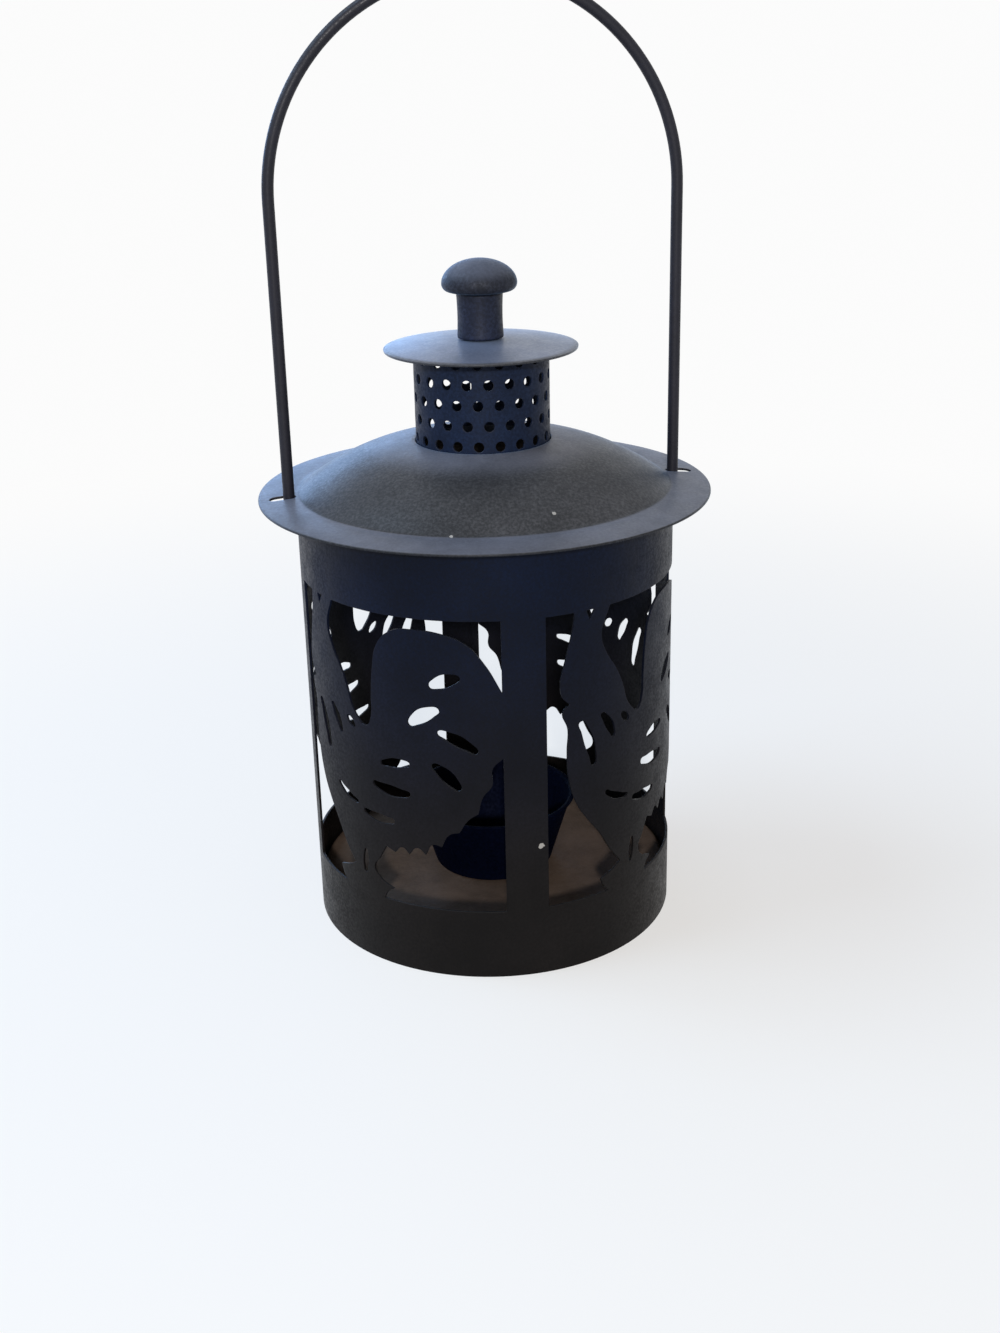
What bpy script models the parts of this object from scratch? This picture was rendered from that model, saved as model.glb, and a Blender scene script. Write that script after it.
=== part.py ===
"""Small candle lantern of painted sheet steel with a sliding lid and a wire bail.

The body is one sheet, punched with four rooster windows and rolled to a drum.
The lid is a shallow cone with a flat brim, a perforated vent collar, a cap disc
and a mushroom knob. The bail hooks into the drum and runs through two slots in
the brim, so the lid lifts along it without coming off.

Metres, +Z up. The origin is the centre of the resting edge. The post between
the two front windows faces -Y, and the bail lies in the XZ plane.
"""
import math

import bmesh
import bpy

# Fits
GAP = 0.0003                  # clearance between pieces that touch
MERGE = 0.000005              # distance at which doubled points are welded

# Drum
BODY_RADIUS = 0.0500          # outside of the rolled wall
WALL_SHEET = 0.0006
WALL_HEIGHT = 0.1202
HEM_HEIGHT = 0.0024           # bottom edge folded inward, the resting edge
WALL_FACETS = 40              # flats that the rolled wall is made of
LAP_WIDTH = 0.0050            # where the sheet's ends lie over each other
LAP_STEP = 0.0025             # run over which the upper end rises
SEAM_WELDS = 3                # spot welds down the lap
SEAM_WELD_RADIUS = 0.0015

# Windows
WINDOWS = 4
POST_WIDTH = 0.0112
SILL_HEIGHT = 0.0195
HEAD_BAND = 0.0202            # plain sheet above the windows

# Floor and candle cup
FLOOR_HEIGHT = 0.0100         # top of the raised floor
FLOOR_SHEET = 0.0006
FLOOR_BEND = 0.0015
CUP_BASE_RADIUS = 0.0165
CUP_RIM_RADIUS = 0.0225
CUP_HEIGHT = 0.0190
CUP_SHEET = 0.0006
CUP_LIP = 0.0010              # rolled edge standing out from the rim
CUP_FACETS = 28
RIVET_RADIUS = 0.0020
RIVET_HEAD_RADIUS = 0.0036
RIVET_HEAD_HEIGHT = 0.0012
RIVET_FACETS = 16

# Bail
WIRE_RADIUS = 0.0015
WIRE_BEND = 0.0022            # to the middle of the wire
BAIL_STRAIGHT = 0.0808        # from the hinge hole to the start of the arch
BAIL_HOLE_DROP = 0.0055       # below the wall's top edge
BAIL_HOLE_CLEARANCE = 0.0005
HOOK_REACH = 0.0020           # straight wire inside the wall
HOOK_TAIL = 0.0035            # straight end turned down inside the wall

# Roof
ROOF_SHEET = 0.0006
ROOF_RISE = 0.0124            # from the foot of the cone to the neck
ROOF_BULGE = 0.0026           # how far the cone swells from a straight one
ROOF_FOOT_INSET = 0.0007      # foot of the cone, inside the wall's radius
ROOF_BANDS = 3                # flat bands of the cone, above the one over the plug ring
BRIM_OVERHANG = 0.0098        # brim beyond the wall
BRIM_DROP = 0.0005
BRIM_LIP = 0.0010             # edge turned down
BRIM_BEND = 0.0006
SLOT_CLEARANCE = 0.0003       # each side of the wire
SLOT_OUTWARD = 0.0052         # slot beyond the middle of the wire
SLOT_INWARD = 0.0019

# Ring under the roof that plugs into the wall
RING_SHEET = 0.0006
RING_DEPTH = 0.0120           # below the wall's top edge
RING_FLANGE = 0.0040
RING_NOTCH_WIDTH = 0.0070     # open notch that clears the bail's hook
RING_NOTCH_ROOM = 0.0020      # above the hook

# Vent collar
COLLAR_RADIUS = 0.01765
COLLAR_SHEET = 0.0005
COLLAR_HEIGHT = 0.0242        # from the roof's neck to the top edge
COLLAR_HOLES = 20             # in each row
COLLAR_ROWS = 5
COLLAR_ROW_PITCH = 0.00523
COLLAR_FIRST_ROW = 0.0016     # above the roof's neck
COLLAR_HOLE_RADIUS = 0.00135
COLLAR_HOLE_SIDES = 6
COLLAR_TABS = 6
COLLAR_TAB_WIDTH = 0.0060
COLLAR_TAB_LENGTH = 0.0040
COLLAR_TAB_BEND = 0.0003
COLLAR_SEAM = 0.0003          # open butt joint at the back

# Cap disc
CAP_RADIUS = 0.0252
CAP_SHEET = 0.0006
CAP_DOME = 0.0020
CAP_FACETS = 40

# Knob, its stem and its screw
STEM_RADIUS = 0.0060
STEM_WAIST = 0.0002           # how much thinner the stem is halfway up
STEM_HEIGHT = 0.0115
STEM_FACETS = 24
KNOB_RADIUS = 0.0097
KNOB_HEIGHT = 0.0081
KNOB_LIP = 0.0019             # thickness of the mushroom's rim
KNOB_FACETS = 28
SCREW_RADIUS = 0.0020
SCREW_INTO_KNOB = 0.0050
SCREW_HEAD_RADIUS = 0.0036
SCREW_HEAD_HEIGHT = 0.0022
SCREW_FACETS = 16
WASHER_RADIUS = 0.0055
WASHER_THICKNESS = 0.0008
WASHER_FACETS = 20

# Heights and radii that follow from the sizes above
WALL_INSIDE = BODY_RADIUS - WALL_SHEET
FACET = 2 * math.pi / WALL_FACETS
LAP_ANGLE = LAP_WIDTH / 2 / BODY_RADIUS
WINDOW_TOP = WALL_HEIGHT - HEAD_BAND
HINGE_HEIGHT = WALL_HEIGHT - BAIL_HOLE_DROP
LEG_RADIUS = BODY_RADIUS + GAP + WIRE_RADIUS
ROOF_FOOT = WALL_HEIGHT + GAP + ROOF_SHEET
ROOF_FOOT_RADIUS = BODY_RADIUS - ROOF_FOOT_INSET
BRIM_RADIUS = BODY_RADIUS + BRIM_OVERHANG
NECK_RADIUS = COLLAR_RADIUS + GAP
NECK_HEIGHT = ROOF_FOOT + ROOF_RISE
RING_RADIUS = WALL_INSIDE - GAP
RING_INNER = RING_RADIUS - RING_FLANGE
FIRST_BAND = NECK_RADIUS + (RING_INNER - NECK_RADIUS) / ROOF_BANDS
COLLAR_TOP = NECK_HEIGHT + COLLAR_HEIGHT
SCREW_HOLE = SCREW_RADIUS + GAP

# Outlines of one window, in hundredths of its width and of its height, seen
# from outside. A point marked C is a corner, and the others are smooth.
C = "corner"
FRONT_OPENING = [
    (0, 0, C), (0, 100, C), (11.7, 100, C), (11.0, 95.5), (8.9, 88.5), (5.6, 78.5, C),
    (6.2, 73.0), (9.6, 69.8, C), (6.6, 68.0), (8.6, 61.5), (8.2, 54.0), (8.8, 44.0),
    (12.3, 34.8), (17.2, 28.3), (22.6, 22.4), (28.2, 14.8), (33.8, 9.0, C),
    (28.8, 6.8), (23.2, 5.2, C), (24.6, 2.4), (27.2, 0, C),
]
REAR_OPENING = [
    (49.0, 0, C), (50.8, 2.6), (53.8, 4.4, C), (47.6, 6.6), (44.6, 10.2),
    (48.0, 15.0), (51.2, 19.6, C), (55.4, 18.2, C), (58.6, 20.6), (61.8, 18.6, C),
    (65.2, 21.4),
    (68.8, 19.4, C), (71.8, 23.4), (75.4, 23.0, C), (78.4, 27.4), (82.6, 28.6, C),
    (86.0, 33.0), (90.0, 35.4, C), (92.0, 41.4), (95.6, 45.4), (95.8, 51.0),
    (100, 54.5, C), (100, 0, C),
]
TOP_OPENING = [
    (27.4, 100, C), (23.4, 91.0), (25.8, 84.6), (30.8, 78.2), (34.4, 72.0),
    (37.0, 65.6), (41.6, 61.0, C), (44.4, 61.0), (46.8, 64.6), (47.4, 72.0),
    (48.6, 81.4), (51.2, 89.6), (57.6, 95.0), (67.4, 96.3), (77.7, 95.6), (86.6, 92.8),
    (93.8, 86.0), (100, 76.5, C), (100, 100, C),
]
COMB_NOTCH = [(16.6, 100, C), (18.0, 96.6, C), (20.4, 100, C)]

# Feather cuts: start, end, width as a share of the window's width, and bow
FEATHER_CUTS = [
    ((13.8, 63.4), (19.8, 47.2), 3.6, 1.2),
    ((23.4, 64.4), (29.6, 55.0), 3.2, 0.8),
    ((33.6, 62.2), (38.0, 58.8), 2.6, 0.0),
    ((25.4, 36.8), (37.6, 32.4), 2.4, -1.2),
    ((40.4, 30.4), (55.8, 29.4), 3.2, -1.0),
    ((46.0, 41.6), (63.4, 40.2), 3.8, -1.0),
    ((50.4, 49.0), (63.6, 50.6), 3.2, 0.6),
    ((72.6, 51.8), (83.4, 43.4), 4.4, 0.8),
    ((75.2, 63.0), (90.4, 56.4), 3.8, 1.0),
    ((63.8, 64.4), (76.2, 70.6), 4.6, 1.0),
    ((72.6, 78.0), (84.6, 81.6), 4.4, 0.6),
    ((39.4, 7.0), (40.4, 16.0), 2.4, 0.0),
]


def clear_scene():
    for old in list(bpy.data.objects):
        bpy.data.objects.remove(old, do_unlink=True)


def new_collection(name):
    group = bpy.data.collections.new(name)
    bpy.context.scene.collection.children.link(group)
    return group


def paint(name, colour, roughness, metallic=0.0):
    """Principled material of one plain colour."""
    material = bpy.data.materials.new(name)
    material.use_nodes = True
    shader = material.node_tree.nodes["Principled BSDF"]
    shader.inputs["Base Color"].default_value = (*colour, 1.0)
    shader.inputs["Roughness"].default_value = roughness
    shader.inputs["Metallic"].default_value = metallic
    return material


def add_part(name, data, material, parent=None):
    """Puts a mesh or curve in the lantern's collection as a named object."""
    part = bpy.data.objects.new(name, data)
    data.materials.append(material)
    LANTERN.objects.link(part)
    if parent is not None:
        part.parent = parent
        part.matrix_parent_inverse = parent.matrix_world.inverted()
    return part


def add_empty(name, location, parent=None):
    empty = bpy.data.objects.new(name, None)
    empty.empty_display_size = 0.01
    empty.location = location
    LANTERN.objects.link(empty)
    if parent is not None:
        empty.parent = parent
        empty.matrix_parent_inverse = parent.matrix_world.inverted()
    bpy.context.view_layer.update()
    return empty


def shade(mesh, degrees=30):
    mesh.shade_smooth()
    mesh.set_sharp_from_angle(angle=math.radians(degrees))


def rounded(profile, steps=3):
    """Profile with an arc in place of each point that has a fillet radius."""
    points = []
    for i, (r, z, *fillet) in enumerate(profile):
        if not fillet:
            points.append((r, z))
            continue
        before, after = profile[i - 1], profile[i + 1]
        ways = []
        for other in (before, after):
            dr, dz = other[0] - r, other[1] - z
            size = math.hypot(dr, dz)
            ways.append((dr / size, dz / size, size))
        half = math.acos(ways[0][0] * ways[1][0] + ways[0][1] * ways[1][1]) / 2
        reach = min(fillet[0] / math.tan(half), 0.45 * ways[0][2], 0.45 * ways[1][2])
        radius = reach * math.tan(half)
        middle = [(ways[0][k] + ways[1][k]) for k in (0, 1)]
        size = math.hypot(*middle)
        centre = [(r, z)[k] + middle[k] / size * radius / math.sin(half) for k in (0, 1)]
        start = (r + ways[0][0] * reach, z + ways[0][1] * reach)
        end = (r + ways[1][0] * reach, z + ways[1][1] * reach)
        a0 = math.atan2(start[1] - centre[1], start[0] - centre[0])
        turn = math.atan2(end[1] - centre[1], end[0] - centre[0]) - a0
        turn = (turn + math.pi) % (2 * math.pi) - math.pi
        for step in range(steps + 1):
            angle = a0 + turn * step / steps
            points.append((centre[0] + radius * math.cos(angle),
                           centre[1] + radius * math.sin(angle)))
    return points


def turned(name, profile, material, facets=WALL_FACETS, sheet=None, closed=False, parent=None):
    """Revolves a profile of (radius, height) points, running down its outer side.

    With a sheet thickness the profile is the outer surface of a pressed piece,
    and without one it is the outline of a solid, closed or ending on the axis.
    """
    mesh = bpy.data.meshes.new(name)
    edges = [(i, i + 1) for i in range(len(profile) - 1)]
    if closed:
        edges.append((len(profile) - 1, 0))
    mesh.from_pydata([(r, 0, z) for r, z in profile], edges, [])
    part = add_part(name, mesh, material, parent)
    screw = part.modifiers.new("Revolve", "SCREW")
    screw.axis = "Z"
    screw.angle = 2 * math.pi
    screw.steps = screw.render_steps = facets
    screw.use_merge_vertices = True
    screw.merge_threshold = MERGE
    screw.use_smooth_shade = True
    if sheet is not None:
        solidify = part.modifiers.new("Sheet", "SOLIDIFY")
        solidify.thickness = sheet
        solidify.offset = -1
        solidify.use_even_offset = True
        solidify.use_quality_normals = True
    return part


def to_mesh(part):
    """Evaluated mesh of an object, welded, with its faces pointing out."""
    graph = bpy.context.evaluated_depsgraph_get()
    mesh = bpy.data.meshes.new_from_object(part.evaluated_get(graph), depsgraph=graph)
    shape = bmesh.new()
    shape.from_mesh(mesh)
    bmesh.ops.remove_doubles(shape, verts=shape.verts, dist=MERGE)
    bmesh.ops.recalc_face_normals(shape, faces=shape.faces[:])
    shape.to_mesh(mesh)
    shape.free()
    return mesh


def curve_to_mesh(drawing):
    """Mesh of a curve that is only a drawing for the next step."""
    guide = bpy.data.objects.new(drawing.name, drawing)
    TOOLS.objects.link(guide)
    mesh = to_mesh(guide)
    bpy.data.objects.remove(guide, do_unlink=True)
    return mesh


def boolean(part, cutter, operation="DIFFERENCE"):
    """Cuts a part with a cutter, or joins them, with the exact solver."""
    cutter.hide_render = True
    cutter.display_type = "WIRE"
    modifier = part.modifiers.new(cutter.name, "BOOLEAN")
    modifier.operation = operation
    modifier.solver = "EXACT"
    modifier.object = cutter


def flat_curve(name, thickness, resolution):
    """Empty flat drawing that fills between its outlines when they are added."""
    drawing = bpy.data.curves.new(name, "CURVE")
    drawing.dimensions = "2D"
    drawing.fill_mode = "BOTH"
    drawing.extrude = thickness / 2
    drawing.resolution_u = resolution
    return drawing


def add_polygon(drawing, points):
    spline = drawing.splines.new("POLY")
    spline.points.add(len(points) - 1)
    for target, (x, y) in zip(spline.points, points):
        target.co = (x, y, 0, 1)
    spline.use_cyclic_u = True


def add_smooth_outline(drawing, points):
    """Closed outline through points, smooth except where a point says corner."""
    spline = drawing.splines.new("BEZIER")
    spline.bezier_points.add(len(points) - 1)
    for target, (x, y, *corner) in zip(spline.bezier_points, points):
        target.co = (x, y, 0)
        kind = "VECTOR" if corner else "AUTO"
        target.handle_left_type = target.handle_right_type = kind
    spline.use_cyclic_u = True


def add_round_hole(drawing, centre, radius, sides, turn=0.5):
    points = []
    for i in range(sides):
        angle = 2 * math.pi * (i + turn) / sides
        points.append((centre[0] + radius * math.cos(angle), centre[1] + radius * math.sin(angle)))
    add_polygon(drawing, points)


def feather(start, end, width, bow):
    """Six points of a slit with pointed ends, bowed to one side."""
    along = (end[0] - start[0], end[1] - start[1])
    length = math.hypot(*along)
    across = (-along[1] / length, along[0] / length)
    points = []
    for share, side in ((0, 0), (0.25, 1), (0.75, 1), (1, 0), (0.75, -1), (0.25, -1)):
        off = 4 * share * (1 - share) * bow + side * width / 2
        points.append([start[k] + along[k] * share + across[k] * off for k in (0, 1)])
    return points


def add_window(drawing, left, width):
    """Punches one window round its rooster, starting at the window's left edge."""
    height = WINDOW_TOP - SILL_HEIGHT

    def placed(point):
        x, y, *corner = point
        return (left + width * x / 100, SILL_HEIGHT + height * y / 100, *corner)

    for outline in (FRONT_OPENING, REAR_OPENING, TOP_OPENING, COMB_NOTCH):
        add_smooth_outline(drawing, [placed(point) for point in outline])
    for start, end, share, bow in FEATHER_CUTS:
        scaled = [placed(point)[:2] for point in (start, end)]
        add_polygon(drawing, feather(*scaled, width * share / 100, width * bow / 100))


def cut_along(shape, place, direction):
    """Adds edges to a flat sheet where it will be bent."""
    everything = shape.verts[:] + shape.edges[:] + shape.faces[:]
    bmesh.ops.bisect_plane(shape, geom=everything, dist=MERGE / 5,
                           plane_co=place, plane_no=direction)


def scored_strip(section, half_length, across, along):
    """Flat strip along X with a given cross-section, with edges at its bend lines.

    The section is drawn as (depth, height) points.
    """
    drawing = flat_curve("section", 2 * half_length, 1)
    add_polygon(drawing, section)
    mesh = curve_to_mesh(drawing)
    shape = bmesh.new()
    shape.from_mesh(mesh)
    bpy.data.meshes.remove(mesh)
    for vert in shape.verts:
        depth, height, run = vert.co
        vert.co = (run, height, depth)
    for x in across:
        cut_along(shape, (x, 0, 0), (1, 0, 0))
    for y in along:
        cut_along(shape, (0, y, 0), (0, 1, 0))
    bmesh.ops.recalc_face_normals(shape, faces=shape.faces[:])
    return shape


def punched(name, shape, drawing):
    """Strip with the drawing's outlines cut out of it, as a new flat shape."""
    mesh = bpy.data.meshes.new(name)
    shape.to_mesh(mesh)
    shape.free()
    strip = bpy.data.objects.new(name + "_blank", mesh)
    punch = bpy.data.objects.new(name + "_punch", curve_to_mesh(drawing))
    TOOLS.objects.link(strip)
    TOOLS.objects.link(punch)
    boolean(strip, punch)
    result = bmesh.new()
    result.from_mesh(to_mesh(strip))
    bpy.data.objects.remove(strip, do_unlink=True)
    bpy.data.objects.remove(punch, do_unlink=True)
    return result


def rolled_part(name, shape, bends, at_bend, radius, material, parent=None):
    """Rolls a flat shape and adds it as a part."""
    roll(shape, bends, at_bend, radius)
    mesh = bpy.data.meshes.new(name)
    shape.to_mesh(mesh)
    shape.free()
    shade(mesh)
    return add_part(name, mesh, material, parent)


def wall_bends():
    """Angles of the wall's bend lines, from the under end of the lap to the over end."""
    step = LAP_STEP / BODY_RADIUS
    free = math.pi - LAP_ANGLE - step - 0.1 * FACET
    bends = [FACET * i for i in range(-WALL_FACETS, WALL_FACETS) if abs(FACET * i) < free]
    return ([-math.pi - LAP_ANGLE, -math.pi] + bends
            + [math.pi - LAP_ANGLE - step, math.pi - LAP_ANGLE, math.pi, math.pi + LAP_ANGLE])


def wall_point(angle, depth):
    """Point of the bent sheet at a bend line. Depth is measured from the sheet's middle."""
    radius = BODY_RADIUS - WALL_SHEET / 2 + depth
    if angle > math.pi - 1.01 * LAP_ANGLE:
        radius += WALL_SHEET + GAP
    return radius * math.sin(angle), -radius * math.cos(angle)


def roll(shape, bends, at_bend, radius):
    """Rolls a flat sheet, keeping it flat between its bend lines."""
    for vert in shape.verts:
        angle, depth = vert.co.x / radius, vert.co.z
        k = 0
        while k < len(bends) - 2 and angle > bends[k + 1]:
            k += 1
        share = (angle - bends[k]) / (bends[k + 1] - bends[k])
        a, b = at_bend(bends[k], depth), at_bend(bends[k + 1], depth)
        x, y = (a[i] + (b[i] - a[i]) * share for i in (0, 1))
        vert.co = (x, y, vert.co.y)


def make_wall(material):
    """The drum: a hemmed sheet, punched, rolled and lapped at the back."""
    bends = wall_bends()
    drawing = flat_curve("wall_punch", 8 * WALL_SHEET, 2)
    pitch = 2 * math.pi * BODY_RADIUS / WINDOWS
    for i in range(WINDOWS):
        left = pitch * (i - WINDOWS / 2) + POST_WIDTH / 2
        add_window(drawing, left, pitch - POST_WIDTH)
    quarter = math.pi / 2 * BODY_RADIUS
    for x in (-quarter, quarter):
        add_round_hole(drawing, (x, HINGE_HEIGHT), WIRE_RADIUS + BAIL_HOLE_CLEARANCE, 12)
    half = WALL_SHEET / 2
    section = [(half, 0), (half, WALL_HEIGHT), (-half, WALL_HEIGHT),
               (-half, HEM_HEIGHT), (-half - WALL_SHEET, HEM_HEIGHT), (-half - WALL_SHEET, 0)]
    shape = scored_strip(section, -bends[0] * BODY_RADIUS,
                         [angle * BODY_RADIUS for angle in bends[1:-1]], [])
    end_hem(shape, bends[-4] * BODY_RADIUS)
    shape = punched("body_wall", shape, drawing)
    wall = rolled_part("body_wall", shape, bends, wall_point, BODY_RADIUS, material)
    weld_seam(wall)
    return wall


def end_hem(shape, lap_start):
    """Runs the hem out to nothing before the sheet rises over its other end."""
    for vert in shape.verts:
        if vert.co.x > lap_start - MERGE and vert.co.z < -WALL_SHEET:
            vert.co.z = -WALL_SHEET / 2
    bmesh.ops.remove_doubles(shape, verts=shape.verts[:], dist=MERGE)
    bmesh.ops.dissolve_degenerate(shape, edges=shape.edges[:], dist=MERGE)


def weld_seam(wall):
    """Joins the two layers of the lap with spot welds."""
    middle = BODY_RADIUS + GAP / 2
    for i in range(SEAM_WELDS):
        height = WALL_HEIGHT * (i + 0.5) / SEAM_WELDS
        bpy.ops.mesh.primitive_cylinder_add(
            vertices=12, radius=SEAM_WELD_RADIUS, depth=GAP + WALL_SHEET,
            location=(0, middle, height), rotation=(math.pi / 2, 0, 0))
        weld = bpy.context.object
        weld.name = "seam_weld_%d" % (i + 1)
        move_to(weld, TOOLS)
        boolean(wall, weld, "UNION")


def move_to(part, group):
    for old in list(part.users_collection):
        old.objects.unlink(part)
    group.objects.link(part)


def make_floor(material):
    """Raised floor pan, whose flange stands on the wall's hem."""
    edge = WALL_INSIDE - GAP
    profile = rounded([
        (RIVET_RADIUS + GAP, FLOOR_HEIGHT), (edge, FLOOR_HEIGHT, FLOOR_BEND),
        (edge, HEM_HEIGHT + GAP)], steps=1)
    return turned("floor_pan", profile, material, sheet=FLOOR_SHEET)


def make_cup(material):
    """Tapered cup for the candle, with a rolled rim."""
    base = FLOOR_HEIGHT + GAP
    top = base + CUP_HEIGHT
    profile = rounded([
        (CUP_RIM_RADIUS + CUP_LIP, top), (CUP_RIM_RADIUS, top, CUP_LIP / 2),
        (CUP_BASE_RADIUS, base, CUP_LIP), (RIVET_RADIUS + GAP, base)], steps=2)
    return turned("candle_cup", profile, material, facets=CUP_FACETS, sheet=CUP_SHEET)


def make_rivet(material):
    """Rivet through the cup's base and the floor pan."""
    top = FLOOR_HEIGHT + GAP + CUP_SHEET + GAP
    bottom = FLOOR_HEIGHT - FLOOR_SHEET - GAP
    profile = [
        (0, top + RIVET_HEAD_HEIGHT), (0.6 * RIVET_HEAD_RADIUS, top + 0.8 * RIVET_HEAD_HEIGHT),
        (RIVET_HEAD_RADIUS, top), (RIVET_RADIUS, top), (RIVET_RADIUS, bottom),
        (RIVET_HEAD_RADIUS, bottom),
        (0.6 * RIVET_HEAD_RADIUS, bottom - 0.8 * RIVET_HEAD_HEIGHT), (0, bottom - RIVET_HEAD_HEIGHT)]
    return turned("cup_rivet", profile, material, facets=RIVET_FACETS)


def arc(centre, radius, start, end, steps):
    """Points of an arc in the XZ plane, angles in degrees from +X."""
    points = []
    for i in range(steps + 1):
        angle = math.radians(start + (end - start) * i / steps)
        points.append((centre[0] + radius * math.cos(angle), centre[1] + radius * math.sin(angle)))
    return points


def bail_path():
    """Middle of the bail's wire, in the XZ plane, measured from the hinge axis."""
    hook = LEG_RADIUS - WIRE_BEND
    tail = hook - HOOK_REACH - WIRE_BEND
    right = [(tail, -WIRE_BEND - HOOK_TAIL)]
    right += arc((tail + WIRE_BEND, -WIRE_BEND), WIRE_BEND, 180, 90, 4)
    right += arc((hook, WIRE_BEND), WIRE_BEND, -90, 0, 4)
    right += arc((0, BAIL_STRAIGHT), LEG_RADIUS, 0, 90, 14)
    left = [(-x, z) for x, z in reversed(right[:-1])]
    return right + left


def make_bail(material):
    """Wire bail: an arch on two straight legs, each hooked into the wall."""
    wire = bpy.data.curves.new("bail", "CURVE")
    wire.dimensions = "3D"
    wire.bevel_depth = WIRE_RADIUS
    wire.bevel_resolution = 2
    wire.use_fill_caps = True
    path = bail_path()
    spline = wire.splines.new("POLY")
    spline.points.add(len(path) - 1)
    for target, (x, z) in zip(spline.points, path):
        target.co = (x, 0, z, 1)
    bail = add_part("bail", wire, material)
    bail.location = (0, 0, HINGE_HEIGHT)
    bpy.context.view_layer.update()
    return bail


def roof_surface(radius):
    """Height of the cone's outer surface, a straight cone with a slight swell."""
    share = (radius - NECK_RADIUS) / (ROOF_FOOT_RADIUS - NECK_RADIUS)
    return NECK_HEIGHT - ROOF_RISE * share + 4 * ROOF_BULGE * share * (1 - share)


def band_slope(inner, outer):
    """Angle below the horizontal of a flat band of the cone between two radii."""
    return math.atan2(roof_surface(inner) - roof_surface(outer), outer - inner)


def slot_cutter(side):
    """Rounded bar that cuts the brim's slot round one leg of the bail."""
    width = WIRE_RADIUS + SLOT_CLEARANCE
    inner, outer = LEG_RADIUS - SLOT_INWARD + width, LEG_RADIUS + SLOT_OUTWARD - width
    outline = arc((outer, 0), width, -90, 90, 6) + arc((inner, 0), width, 90, 270, 6)
    drawing = flat_curve("brim_slot", 8 * ROOF_SHEET, 1)
    add_polygon(drawing, [(side * x, side * y) for x, y in outline])
    name = "brim_slot_right" if side > 0 else "brim_slot_left"
    cutter = bpy.data.objects.new(name, curve_to_mesh(drawing))
    cutter.location = (0, 0, ROOF_FOOT - ROOF_SHEET / 2)
    TOOLS.objects.link(cutter)
    return cutter


def make_roof(material, parent):
    """Cone and brim pressed from one disc, with a slot for each leg of the bail."""
    cone = []
    for i in range(ROOF_BANDS + 1):
        radius = NECK_RADIUS + (RING_INNER - NECK_RADIUS) * i / ROOF_BANDS
        cone.append((radius, roof_surface(radius)))
    rim = ROOF_FOOT - BRIM_DROP
    profile = rounded(cone + [
        (ROOF_FOOT_RADIUS, ROOF_FOOT), (BRIM_RADIUS, rim, BRIM_BEND),
        (BRIM_RADIUS, rim - BRIM_LIP)], steps=1)
    roof = turned("roof", profile, material, sheet=ROOF_SHEET, parent=parent)
    for side in (-1, 1):
        boolean(roof, slot_cutter(side))
    return roof


def make_ring(material, parent):
    """Plug ring welded under the roof, notched to lift past the bail's hooks."""
    slope = band_slope(RING_INNER, ROOF_FOOT_RADIUS)
    top = roof_surface(RING_INNER) - (ROOF_SHEET + GAP) / math.cos(slope)
    bottom = WALL_HEIGHT - RING_DEPTH
    profile = rounded([
        (RING_INNER, top), (RING_RADIUS, top - RING_FLANGE * math.tan(slope), RING_SHEET),
        (RING_RADIUS, bottom)], steps=1)
    ring = turned("lid_ring", profile, material, sheet=RING_SHEET, parent=parent)
    notch_top = HINGE_HEIGHT + WIRE_RADIUS + RING_NOTCH_ROOM
    height = notch_top - bottom + RING_SHEET
    for side in (-1, 1):
        bpy.ops.mesh.primitive_cube_add(
            size=1, location=(side * RING_RADIUS, 0, notch_top - height / 2))
        notch = bpy.context.object
        notch.name = "ring_notch_%s" % ("right" if side > 0 else "left")
        notch.scale = (8 * RING_SHEET, RING_NOTCH_WIDTH, height)
        bpy.ops.object.transform_apply(location=False, rotation=False, scale=True)
        move_to(notch, TOOLS)
        boolean(ring, notch)
    return ring


def fold(height, depth, bend, turn):
    """Radial offset and height of a point of a strip that bends outward below a line."""
    beyond = bend - height
    if beyond <= 0:
        return depth, height
    radius = COLLAR_TAB_BEND + COLLAR_SHEET / 2
    angle = min(beyond / radius, turn)
    rest = beyond - angle * radius
    out = radius + rest * math.sin(angle) - (radius - depth) * math.cos(angle)
    up = bend - rest * math.cos(angle) - (radius - depth) * math.sin(angle)
    return out, up


def collar_point(angle, depth):
    radius = COLLAR_RADIUS - COLLAR_SHEET / 2 + depth
    return radius * math.sin(angle), -radius * math.cos(angle)


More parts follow.
